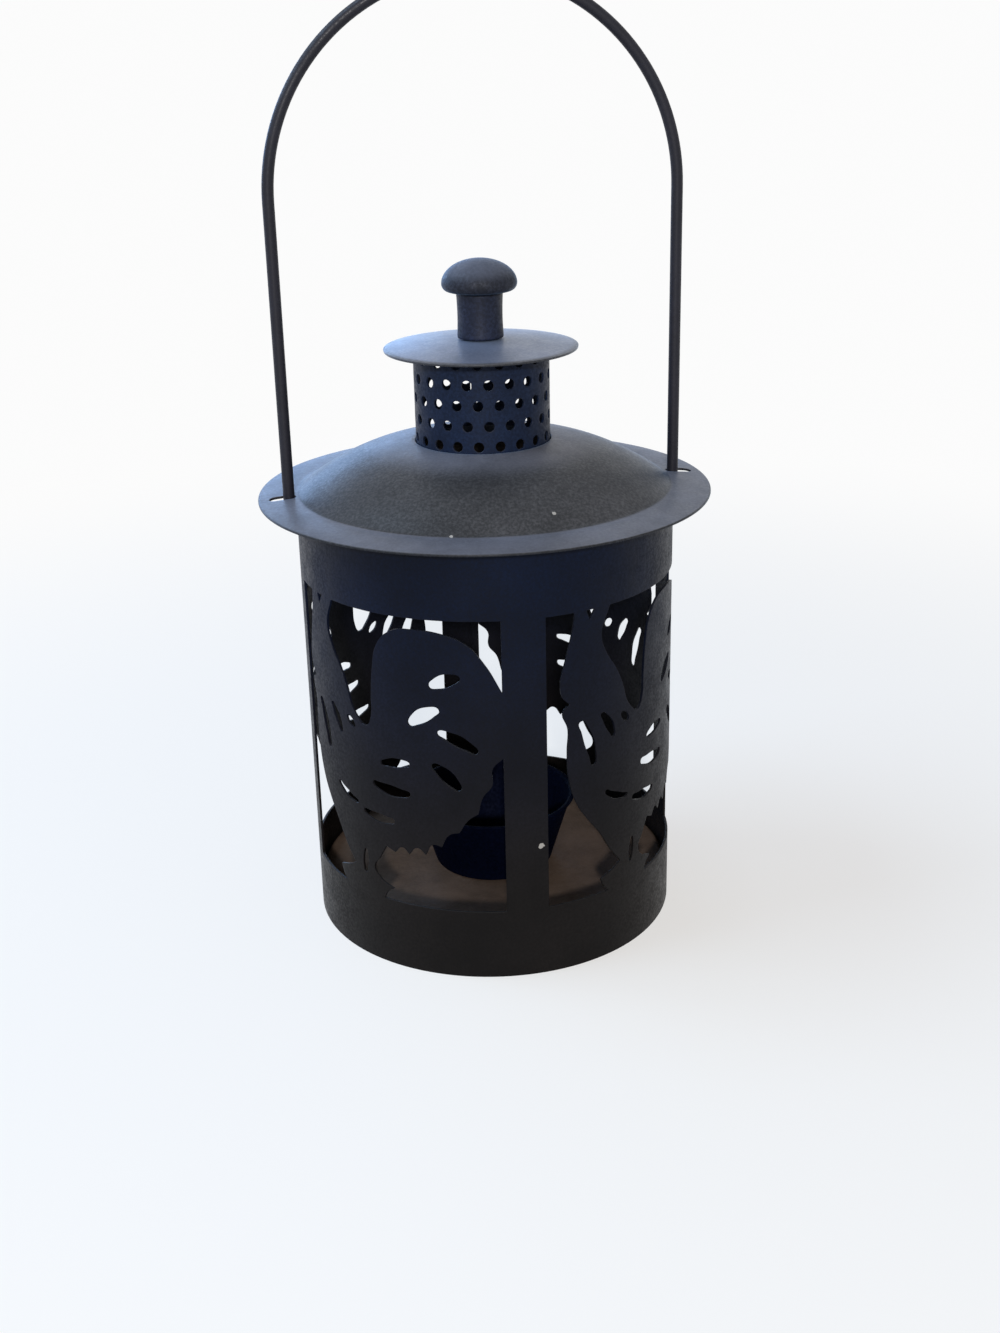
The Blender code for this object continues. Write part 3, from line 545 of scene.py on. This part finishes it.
def make_drum():
    """The hemmed, punched and rolled wall."""
    drawing = flat_curve("drum_punch", CUT_THROUGH * SHEET, resolution=6)
    pitch = 2 * math.pi * BODY_RADIUS / WINDOWS
    for i in range(WINDOWS):
        left = pitch * (i - WINDOWS / 2) + POST_WIDTH / 2
        add_window(drawing, left, pitch - POST_WIDTH)
    quarter = math.pi / 2 * BODY_RADIUS
    for x in (-quarter, quarter):
        add_round_hole(drawing, (x, HINGE_HEIGHT), HINGE_HOLE, sides=32)
    half = SHEET / 2
    section = [(half, 0), (half, WALL_HEIGHT), (-half, WALL_HEIGHT),
               (-half, HEM_HEIGHT), (-half - SHEET, HEM_HEIGHT), (-half - SHEET, 0)]
    end = math.pi + LAP_WIDTH / 2 / BODY_RADIUS
    step = 2 * math.pi / DRUM_FACETS
    bends = [step * i for i in range(-DRUM_FACETS, DRUM_FACETS)
             if abs(step * i) < end - LEAST_FLAT * step]
    lap_run = LAP_STEP / BODY_RADIUS
    bends += [LAP_START - lap_run * share for share in (0, 0.25, 0.5, 0.75, 1)]
    shape = scored_strip(section, end * BODY_RADIUS, [angle * BODY_RADIUS for angle in bends])
    lap_x = (LAP_START - lap_run) * BODY_RADIUS
    # The hem's fold runs out where the lap begins
    for vert in shape.verts:
        if vert.co.x > lap_x - MERGE and vert.co.z < -SHEET:
            vert.co.z = -SHEET / 2
    bmesh.ops.remove_doubles(shape, verts=shape.verts[:], dist=MERGE)
    bmesh.ops.dissolve_degenerate(shape, edges=shape.edges[:], dist=MERGE)
    shape = punched("drum_sheet", shape, drawing)
    return rolled("drum_sheet", shape, drum_point)


def make_welds():
    """Shallow round dimples that the spot welds leave on the lap."""
    radius = BODY_RADIUS + SHEET + GAP
    profile = [(WELD_RADIUS * out, WELD_DEPTH * up) for out, up in WELD_DIMPLE]
    facing_back = Matrix.Rotation(-math.pi / 2, 4, "X")
    welds = []
    for i in range(SEAM_WELDS):
        height = WALL_HEIGHT * (i + 0.5) / SEAM_WELDS
        weld = turned("seam_weld_%d" % (i + 1), profile, edge=0, facets=WELD_FACETS)
        weld.matrix_world = Matrix.Translation((0, radius, height)) @ facing_back
        welds.append(weld)
    return welds


def make_floor():
    """Raised pan, its flange turned down."""
    edge, top = FLOOR_HIGH.x, FLOOR_HIGH.z
    profile = rounded([(RIVET_HOLE, top), (edge, top, FLOOR_BEND), (edge, FLOOR_LOW.z)])
    return turned("floor_sheet", profile, sheet=SHEET)


def make_cup():
    """Tapered cup, its rim rolled over."""
    base, top = CUP_LOW.z, CUP_HIGH.z
    profile = rounded([
        (CUP_RIM_RADIUS + CUP_LIP, top), (CUP_RIM_RADIUS, top, CUP_LIP / 2),
        (CUP_BASE_RADIUS, base, CUP_LIP), (RIVET_HOLE, base)])
    return turned("cup_sheet", profile, sheet=SHEET, facets=CUP_FACETS)


def make_bail():
    """Round wire, bent to an arch and two hooks."""
    hook = LEG_RADIUS - WIRE_BEND
    tail = hook - HOOK_REACH - WIRE_BEND
    base = HINGE_HEIGHT
    right = [(tail, base - WIRE_BEND - HOOK_TAIL)]
    right += arc((tail + WIRE_BEND, base - WIRE_BEND), WIRE_BEND, 180, 90, 10)
    right += arc((hook, base + WIRE_BEND), WIRE_BEND, -90, 0, 10)
    right += [(LEG_RADIUS, base + WIRE_BEND + (ARCH_HEIGHT - base - WIRE_BEND) * share)
              for share in (0.25, 0.5, 0.75)]
    right += arc((0, ARCH_HEIGHT), LEG_RADIUS, 0, 90, 40)
    path = right + [(-x, z) for x, z in reversed(right[:-1])]
    wire = bpy.data.curves.new("bail_wire", "CURVE")
    wire.dimensions = "3D"
    wire.bevel_depth = WIRE_RADIUS
    wire.bevel_resolution = 6
    wire.use_fill_caps = True
    spline = wire.splines.new("POLY")
    spline.points.add(len(path) - 1)
    for target, (x, z) in zip(spline.points, path):
        target.co = (x, 0, z, 1)
    return settled(new_object("bail_wire", wire))


def roof_surface(radius):
    """Height of the cone's outer surface, a straight cone with a slight swell."""
    share = (radius - NECK_RADIUS) / (ROOF_FOOT_RADIUS - NECK_RADIUS)
    rise = NECK_HEIGHT - ROOF_FOOT
    return NECK_HEIGHT - rise * share + 4 * ROOF_BULGE * share * (1 - share)


def slot_cutter(side):
    """Rounded bar that cuts the brim's slot round one leg of the bail."""
    width = WIRE_RADIUS + SLOT_CLEARANCE
    inner, outer = LEG_RADIUS - SLOT_INWARD + width, LEG_RADIUS + SLOT_OUTWARD - width
    outline = arc((outer, 0), width, -90, 90, 12) + arc((inner, 0), width, 90, 270, 12)
    drawing = flat_curve("brim_slot", CUT_THROUGH * SHEET, resolution=1)
    add_polygon(drawing, [(side * x, side * y) for x, y in outline])
    cutter = new_object("brim_slot", curve_to_mesh(drawing))
    cutter.location = (0, 0, ROOF_FOOT - SHEET / 2)
    cutter.hide_render = True
    bpy.context.view_layer.update()
    return cutter


def make_roof():
    """Cone and brim, pressed from one disc."""
    last = ROOF_FOOT_RADIUS - ROOF_CREASE
    cone = []
    for i in range(ROOF_STEPS + 1):
        radius = NECK_RADIUS + (last - NECK_RADIUS) * i / ROOF_STEPS
        cone.append((radius, roof_surface(radius)))
    brim = []
    for i in range(1, BRIM_STEPS + 1):
        share = i / BRIM_STEPS
        radius = ROOF_FOOT_RADIUS + (BRIM_RADIUS - BRIM_BEND - ROOF_FOOT_RADIUS) * share
        brim.append((radius, ROOF_FOOT - BRIM_FALL * share ** 2))
    edge_slope = 2 * BRIM_FALL / (BRIM_RADIUS - ROOF_FOOT_RADIUS)
    edge_top = ROOF_FOOT - BRIM_FALL - BRIM_BEND * edge_slope
    profile = rounded(
        cone + [(ROOF_FOOT_RADIUS, ROOF_FOOT, ROOF_CREASE)] + brim
        + [(BRIM_RADIUS, edge_top, BRIM_BEND), (BRIM_RADIUS, ROOF_FOOT - BRIM_DROP - BRIM_LIP)],
        steps=6)
    return turned("roof_sheet", profile, sheet=SHEET,
                  cutters=[slot_cutter(side) for side in (-1, 1)])


def make_ring():
    """Flanged ring that plugs into the wall, notched for the bail's hooks."""
    inner = RING_RADIUS - RING_FLANGE
    fall = (roof_surface(inner) - ROOF_FOOT) / (ROOF_FOOT_RADIUS - inner)
    top = roof_surface(inner) - (SHEET + GAP) * math.hypot(1, fall)
    bottom = RING_LOW.z
    profile = rounded([
        (inner, top), (RING_RADIUS, top - RING_FLANGE * fall, SHEET), (RING_RADIUS, bottom)])
    notch_top = HINGE_HEIGHT + WIRE_RADIUS + RING_NOTCH_ROOM
    height = notch_top - bottom + SHEET
    cutters = []
    for side in (-1, 1):
        bpy.ops.mesh.primitive_cube_add(
            size=1, location=(side * RING_RADIUS, 0, notch_top - height / 2))
        notch = bpy.context.object
        notch.name = "ring_notch"
        notch.scale = (CUT_THROUGH * SHEET, RING_NOTCH_WIDTH, height)
        notch.hide_render = True
        cutters.append(notch)
    return turned("plug_ring_sheet", profile, sheet=SHEET, cutters=cutters)


def make_collar():
    """Perforated strip rolled to a tube, without the tabs that the roof hides."""
    pitch = math.pi / COLLAR_HOLES
    drawing = flat_curve("collar_punch", CUT_THROUGH * COLLAR_SHEET, resolution=1)
    for row in range(COLLAR_ROWS):
        height = NECK_HEIGHT + COLLAR_FIRST_ROW + COLLAR_ROW_PITCH * row
        for i in range(COLLAR_HOLES):
            angle = pitch * (2 * i + row % 2 - COLLAR_HOLES + 0.5)
            add_round_hole(drawing, (angle * COLLAR_RADIUS, height), COLLAR_HOLE_RADIUS, sides=16)
    half_length = math.pi * COLLAR_RADIUS - COLLAR_SEAM / 2
    step = 2 * math.pi / COLLAR_FACETS
    bends = [step * i for i in range(1 - COLLAR_FACETS // 2, COLLAR_FACETS // 2)]
    half = COLLAR_SHEET / 2
    section = [(half, COLLAR_FOOT), (half, COLLAR_TOP), (-half, COLLAR_TOP), (-half, COLLAR_FOOT)]
    shape = scored_strip(section, half_length, [angle * COLLAR_RADIUS for angle in bends])
    shape = punched("vent_sheet", shape, drawing)

    def place(flat):
        angle = flat.x / COLLAR_RADIUS
        radius = COLLAR_RADIUS - COLLAR_SHEET / 2 + flat.z
        return radius * math.sin(angle), -radius * math.cos(angle), flat.y

    return rolled("vent_sheet", shape, place)


def make_cap():
    """Shallow domed disc."""
    dome = (CAP_HIGH.z - CAP_LOW.z - SHEET) / (1 - CAP_HOLE ** 2 / CAP_RADIUS ** 2)
    profile = []
    for i in range(CAP_STEPS + 1):
        radius = CAP_HOLE + (CAP_RADIUS - CAP_HOLE) * i / CAP_STEPS
        drop = dome * (radius ** 2 - CAP_HOLE ** 2) / CAP_RADIUS ** 2
        profile.append((radius, CAP_HIGH.z - drop))
    return turned("cap_sheet", profile, sheet=SHEET)


def make_stem():
    """Spacer tube between cap and knob, slightly waisted."""
    foot, top = STEM_LOW.z, STEM_HIGH.z
    outer = []
    for i in range(STEM_STEPS + 1):
        share = 1 - i / STEM_STEPS
        radius = STEM_RADIUS - STEM_WAIST * math.sin(math.pi * share)
        outer.append((radius, foot + (top - foot) * share))
    profile = outer + [(CAP_HOLE, foot), (CAP_HOLE, top)]
    return turned("stem_turning", profile, closed=True, facets=STEM_FACETS, edge=STEM_EDGE)


def make_knob():
    """Mushroom knob: a domed head with a rolled underside."""
    base, top = KNOB_LOW.z, KNOB_HIGH.z
    dome_base = base + KNOB_LIP
    dome_height = top - dome_base
    profile = []
    for i in range(KNOB_STEPS + 1):
        angle = math.pi / 2 * (1 - i / KNOB_STEPS)
        profile.append((KNOB_RADIUS * math.cos(angle), dome_base + dome_height * math.sin(angle)))
    for i in range(1, KNOB_LIP_STEPS + 1):
        angle = math.pi / 2 * i / KNOB_LIP_STEPS
        profile.append((KNOB_RADIUS - KNOB_LIP * (1 - math.cos(angle)),
                        dome_base - KNOB_LIP * math.sin(angle)))
    profile += [(CAP_HOLE, base), (CAP_HOLE, base + KNOB_BORE), (0, base + KNOB_BORE)]
    return turned("knob_turning", profile, facets=KNOB_FACETS, edge=0)


# Materials

def node(tree, kind, inputs=None, **settings):
    """New shader node, with its settings, and values or links for its inputs."""
    made = tree.nodes.new(kind)
    for name, value in settings.items():
        setattr(made, name, value)
    for name, value in (inputs or {}).items():
        socket = made.inputs[name]
        if isinstance(value, bpy.types.NodeSocket):
            tree.links.new(value, socket)
        else:
            socket.default_value = value
    return made


def noise(tree, place, scale, detail, roughness=0.55):
    """A cloudy value round 0.5."""
    made = node(tree, "ShaderNodeTexNoise",
                {"Vector": place, "Scale": scale, "Detail": detail, "Roughness": roughness})
    return made.outputs["Fac"]


def spread(tree, value, low, high, to_low=0.0, to_high=1.0):
    """Maps a range of a value to another range, with a smooth step."""
    made = node(tree, "ShaderNodeMapRange", {
        "Value": value, "From Min": low, "From Max": high, "To Min": to_low, "To Max": to_high},
        interpolation_type="SMOOTHSTEP")
    return made.outputs["Result"]


def times(tree, a, b):
    return node(tree, "ShaderNodeMath", {0: a, 1: b}, operation="MULTIPLY").outputs[0]


def larger(tree, a, b):
    return node(tree, "ShaderNodeMath", {0: a, 1: b}, operation="MAXIMUM").outputs[0]


def blend_colours(tree, factor, a, b):
    """Mix of two colours. The colour mix has its factor at socket 0, and them at 6 and 7."""
    made = node(tree, "ShaderNodeMix", data_type="RGBA")
    for index, value in ((0, factor), (6, a), (7, b)):
        if isinstance(value, bpy.types.NodeSocket):
            tree.links.new(value, made.inputs[index])
        else:
            made.inputs[index].default_value = value if index == 0 else (*value, 1)
    return made.outputs[2]


def scaled_colour(tree, colour, amount):
    """A colour, or a socket that gives one, made darker or lighter by a value."""
    made = node(tree, "ShaderNodeVectorMath", {0: colour, "Scale": amount}, operation="SCALE")
    return made.outputs[0]


def chip_mask(tree, place, chip, wobble):
    """1 inside a ragged patch round a point, 0 outside."""
    centre, radius = chip
    stray = CHIP_WOBBLE * radius
    shift = node(tree, "ShaderNodeVectorMath", {0: wobble, "Scale": stray}, operation="SCALE")
    moved = node(tree, "ShaderNodeVectorMath", {0: place, 1: shift.outputs[0]}, operation="ADD")
    middle = centre + Vector((stray / 2, stray / 2, stray / 2))
    away = node(tree, "ShaderNodeVectorMath", {0: moved.outputs[0], 1: middle},
                operation="DISTANCE")
    return spread(tree, away.outputs["Value"], radius, CHIP_CORE * radius)


def worn_edges(tree, place, geometry):
    """Normal that rounds each hard edge, and a patchy mask of the paint worn there."""
    bevel = node(tree, "ShaderNodeBevel", {"Radius": EDGE_WEAR}, samples=6)
    rounded_edge = bevel.outputs["Normal"]
    turn = node(tree, "ShaderNodeVectorMath", {0: rounded_edge, 1: geometry.outputs["Normal"]},
                operation="DOT_PRODUCT").outputs["Value"]
    patchy = spread(tree, noise(tree, place, WEAR_PATCHES, 4, 0.7), 0.40, 0.66)
    return rounded_edge, times(tree, spread(tree, turn, *WORN_TURN), patchy)


def painted(name, colour, roughness, painted_reflection_top=None, upward_haze_and_light=None, dust=0.0,
            dust_and_reflection_colour=DUST, grain=1.0, settles=(0.25, 0.95), specular=0.35, sheen=0.0,
            coat=0.0, wear=0.5, chips=()):
    """Black paint: fine grain, uneven gloss, dust on what faces up, wear and chips, and where
    a paint is given them, tones of painted reflection and painted light.

    painted_reflection_top is its tone high on the lantern, a painted blue reflection over the
    painted warm reflection of its colour low down. upward_haze_and_light is its lighter tone on
    what faces up, a haze with painted light from above.
    Dust settles between two amounts of facing up. A bluish dust_and_reflection_colour is dust
    with painted reflection of the blue light.
    """
    material = bpy.data.materials.new(name)
    material.use_nodes = True
    tree = material.node_tree
    shader = tree.nodes["Principled BSDF"]
    shader.inputs["Specular IOR Level"].default_value = specular
    shader.inputs["Sheen Weight"].default_value = sheen
    shader.inputs["Sheen Roughness"].default_value = SHEEN_ROUGHNESS
    shader.inputs["Sheen Tint"].default_value = (*SHEEN_PAINTED_BLUE, 1)
    shader.inputs["Coat Weight"].default_value = coat
    shader.inputs["Coat Roughness"].default_value = COAT_ROUGHNESS
    shader.inputs["Coat IOR"].default_value = COAT_IOR
    place = node(tree, "ShaderNodeTexCoord").outputs["Object"]
    geometry = node(tree, "ShaderNodeNewGeometry")

    tone = colour
    # Painted reflection: warm tone low down and blue tone high up, as the lantern reflects the
    # table and the blue light
    if painted_reflection_top:
        height = node(tree, "ShaderNodeSeparateXYZ", {"Vector": place}).outputs["Z"]
        tone = blend_colours(tree, spread(tree, height, *PAINTED_REFLECTION_HEIGHTS), colour, painted_reflection_top)
    up = node(tree, "ShaderNodeSeparateXYZ", {"Vector": geometry.outputs["Normal"]}).outputs["Z"]
    # Lighter tone on what faces up: a haze, with painted light from above
    if upward_haze_and_light:
        tone = blend_colours(tree, spread(tree, up, *HAZE_AND_TOP_LIGHT), tone, upward_haze_and_light)
    cloud = noise(tree, place, CLOUDS, 5)
    grit = noise(tree, place, GRIT, 4, 0.65)
    peel = noise(tree, place, ORANGE_PEEL, 2)
    shade = spread(tree, cloud, 0.3, 0.7, *CLOUD_TONES)
    shade = times(tree, shade, spread(tree, grit, 0.35, 0.75, 1 - 0.25 * grain, 1 + 0.6 * grain))
    mix = scaled_colour(tree, tone, shade)

    patches = spread(tree, noise(tree, place, DUST_PATCHES, 8, 0.7), 0.25, 0.75, 0.5, 1.0)
    # Dust on what faces up; a bluish dust colour adds a painted reflection of the blue light
    dust_and_reflection_film = times(tree, times(tree, spread(tree, up, *settles), patches), dust)
    mix = blend_colours(tree, dust_and_reflection_film, mix, dust_and_reflection_colour)

    rounded_edge, worn = worn_edges(tree, place, geometry)
    mix = blend_colours(tree, times(tree, worn, wear), mix, WORN_EDGE)

    if chips:
        wobble = node(tree, "ShaderNodeTexNoise", {
            "Vector": place, "Scale": CHIP_OUTLINE, "Detail": 2}).outputs["Color"]
        bare = chip_mask(tree, place, chips[0], wobble)
        for chip in chips[1:]:
            bare = larger(tree, bare, chip_mask(tree, place, chip, wobble))
        mix = blend_colours(tree, bare, mix, BARE_METAL)
    tree.links.new(mix, shader.inputs["Base Color"])

    gloss = spread(tree, noise(tree, place, GLOSS_PATCHES, 4), 0.3, 0.7,
                   roughness - UNEVEN_GLOSS, roughness + UNEVEN_GLOSS)
    sparkle = spread(tree, grit, 0.35, 0.7, SPARKLE, -SPARKLE)
    gloss = node(tree, "ShaderNodeMath", {0: sparkle, 1: gloss}, operation="ADD").outputs[0]
    tree.links.new(gloss, shader.inputs["Roughness"])

    relief = node(tree, "ShaderNodeMath", {0: grit, 1: 0.6, 2: times(tree, peel, 0.7)},
                  operation="MULTIPLY_ADD").outputs[0]
    bump = node(tree, "ShaderNodeBump", {
        "Height": relief, "Strength": 0.4 * grain, "Distance": RELIEF, "Normal": rounded_edge})
    tree.links.new(bump.outputs["Normal"], shader.inputs["Normal"])
    return material


def plated(name, colour, roughness):
    """Dull plated steel with a brushed grain and small dark stains."""
    material = bpy.data.materials.new(name)
    material.use_nodes = True
    tree = material.node_tree
    shader = tree.nodes["Principled BSDF"]
    shader.inputs["Metallic"].default_value = 1.0
    place = node(tree, "ShaderNodeTexCoord").outputs["Object"]
    stain = spread(tree, noise(tree, place, STAINS, 5, 0.7), 0.42, 0.68)
    dark = tuple(STAIN_TONE * c for c in colour)
    tree.links.new(blend_colours(tree, stain, colour, dark), shader.inputs["Base Color"])
    grain = noise(tree, place, BRUSHING, 2)
    gloss = spread(tree, grain, 0.3, 0.7, roughness - BRUSHED_GLOSS, roughness + BRUSHED_GLOSS)
    tree.links.new(gloss, shader.inputs["Roughness"])
    bump = node(tree, "ShaderNodeBump", {
        "Height": grain, "Strength": 0.2, "Distance": BRUSHED_RELIEF})
    tree.links.new(bump.outputs["Normal"], shader.inputs["Normal"])
    return material


# Dressing

def dress(piece, body, slot, material, *nodes):
    """Gives a piece its paint and body, and lets it stand for nodes of the frame. The slot is not
    used.
    """
    piece.data.materials.clear()
    piece.data.materials.append(material)
    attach(piece, body)
    if nodes:
        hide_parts(*nodes)


def repaint(name, material):
    """Gives a node of the frame another material."""
    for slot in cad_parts[name].material_slots:
        slot.material = material


def dress_lantern():
    """Makes the paints and every piece, and dresses each one."""
    # Drum: the paint is neutral black; its warm tone low down and dark blue tone high up are
    # painted reflection
    drum = painted("drum_black", (0.0048, 0.0038, 0.0036), 0.42, (0.0012, 0.0037, 0.0132),
                   dust=0.10, grain=0.8, specular=0.10, wear=0.12, chips=[POST_CHIP])
    inner = painted("inner_black", (0.0175, 0.0140, 0.0118), 0.55, dust=0.75,
                    dust_and_reflection_colour=(0.177, 0.124, 0.093), specular=0.03, wear=0.1)
    cup = painted("cup_black", (0.0014, 0.0024, 0.0090), 0.60, specular=0.012, wear=0.0)
    wire = painted("wire_black", (0.0112, 0.0112, 0.0170), 0.45, grain=0.5, specular=0.22)
    # Lid and cap: upward tone is haze with painted top light; their bluish dust has painted blue
    # reflection
    lid = painted("lid_black", (0.0120, 0.0130, 0.0170), 0.52,
                  upward_haze_and_light=(0.0345, 0.0340, 0.0358), dust=0.85,
                  dust_and_reflection_colour=(0.146, 0.147, 0.174), settles=(0.935, 0.995), grain=1.2,
                  specular=0.09, sheen=0.13, coat=0.42, wear=0.05, chips=[ROOF_CHIP, BRIM_CHIP])
    cap = painted("cap_black", (0.0160, 0.0175, 0.0230), 0.48,
                  upward_haze_and_light=(0.0290, 0.0300, 0.0365), dust=0.80,
                  dust_and_reflection_colour=(0.140, 0.152, 0.205), settles=(0.955, 0.99), grain=1.2,
                  specular=0.28, sheen=0.24, coat=0.72, wear=0.1)
    # Vent, stem and knob: their blue base colours are painted light of the bluish lamps over
    # neutral black paint
    vent = painted("vent_black", (0.0052, 0.0104, 0.0275), 0.45, grain=0.8, specular=0.12)
    post = painted("stem_black", (0.0098, 0.0138, 0.0305), 0.48, grain=1.1, specular=0.2)
    # Knob: its bluish dust is dust with a painted reflection of the blue light
    head = painted("knob_black", (0.0180, 0.0205, 0.0310), 0.54, dust=0.62,
                   dust_and_reflection_colour=(0.175, 0.192, 0.248), grain=1.2, specular=0.16, sheen=0.20,
                   wear=0.2)
    steel = plated("plated_steel", (0.42, 0.42, 0.41), 0.38)

    dress(make_drum(), "lantern_body", "drum_paint", drum, "body_wall")
    for weld in make_welds():
        dress(weld, "lantern_body", "drum_paint", drum)
    dress(make_floor(), "lantern_body", "inner_paint", inner, "floor_pan")
    dress(make_cup(), "lantern_body", "cup_paint", cup, "candle_cup")
    dress(make_bail(), "bail", "wire_paint", wire, "bail")
    dress(make_roof(), "lid", "lid_paint", lid, "roof")
    dress(make_ring(), "lid", "inner_paint", inner, "lid_ring")
    dress(make_collar(), "lid", "drum_paint", vent, "vent_collar")
    dress(make_cap(), "lid", "lid_paint", cap, "cap_disc")
    dress(make_stem(), "lid", "drum_paint", post, "knob_stem")
    dress(make_knob(), "lid", "lid_paint", head, "knob")
    repaint("cup_rivet", steel)
    repaint("knob_screw", steel)
    repaint("knob_washer", steel)


# Studio

def seen_or_reflected(tree):
    """1 for rays from the camera and for reflected or transmitted ones, 0 for the rest."""
    path = node(tree, "ShaderNodeLightPath")
    either = larger(tree, path.outputs["Is Camera Ray"], path.outputs["Is Glossy Ray"])
    return larger(tree, either, path.outputs["Is Transmission Ray"])


def make_floor_stage():
    """Plain pale floor that keeps the shadow near the lantern and runs out to white."""
    material = bpy.data.materials.new("studio_floor")
    material.use_nodes = True
    tree = material.node_tree
    shader = tree.nodes["Principled BSDF"]
    shader.inputs["Roughness"].default_value = 0.9
    shader.inputs["Specular IOR Level"].default_value = 0.0
    seen = seen_or_reflected(tree)
    pale = blend_colours(tree, seen, FLOOR_UNSEEN, FLOOR_SEEN)
    tree.links.new(pale, shader.inputs["Base Color"])
    place = node(tree, "ShaderNodeTexCoord").outputs["Object"]
    away = node(tree, "ShaderNodeVectorMath", {0: place}, operation="LENGTH").outputs["Value"]
    far = times(tree, seen, spread(tree, away, *FLOOR_RUNS_OUT, FLOOR_GLOW))
    glow = node(tree, "ShaderNodeEmission", {"Strength": WHITE})
    mixed = node(tree, "ShaderNodeMixShader", {
        0: far, 1: shader.outputs["BSDF"], 2: glow.outputs["Emission"]})
    tree.links.new(mixed.outputs[0], tree.nodes["Material Output"].inputs["Surface"])
    bpy.ops.mesh.primitive_circle_add(vertices=96, radius=FLOOR_RADIUS, fill_type="NGON")
    floor = bpy.context.object
    floor.name = "studio_floor"
    floor.data.materials.append(material)


def light_world():
    """White background that lights the lantern less than it shows."""
    world = bpy.data.worlds.new("studio")
    bpy.context.scene.world = world
    world.use_nodes = True
    tree = world.node_tree
    ground = tree.nodes["Background"]
    ground.inputs["Color"].default_value = (1, 1, 1, 1)
    strength = spread(tree, seen_or_reflected(tree), 0, 1, WORLD, WHITE)
    tree.links.new(strength, ground.inputs["Strength"])


def add_softbox(name, place, size, power, colour):
    """Rectangular light that faces the lantern and isn't seen."""
    data = bpy.data.lights.new(name, "AREA")
    data.shape = "RECTANGLE"
    data.size, data.size_y = size
    data.energy = power
    data.color = colour
    lamp = new_object(name, data)
    lamp.visible_camera = False
    aim = LAMP_AIM - Vector(place)
    turn = aim.to_track_quat("-Z", "Y").to_matrix().to_4x4()
    lamp.matrix_world = Matrix.Translation(place) @ turn


def add_camera():
    """Camera at the photo's viewing angle."""
    data = bpy.data.cameras.new("photo_view")
    data.sensor_width = SENSOR
    data.lens = FOCAL_PIXELS / max(PHOTO_SIZE) * SENSOR
    data.clip_start = 0.01
    camera = new_object("photo_view", data)
    right, down = EYE_RIGHT.normalized(), EYE_DOWN.normalized()
    ahead = right.cross(down)
    axes = Matrix((right, -down, -ahead)).transposed().to_4x4()
    turn = Matrix.Rotation(-VIEW_TURN, 4, "Z")
    camera.matrix_world = turn @ Matrix.Translation(EYE) @ axes
    bpy.context.scene.camera = camera


bpy.context.scene.view_settings.view_transform = "Standard"
dress_lantern()
make_floor_stage()
light_world()
for softbox in SOFTBOXES:
    add_softbox(*softbox)
add_camera()
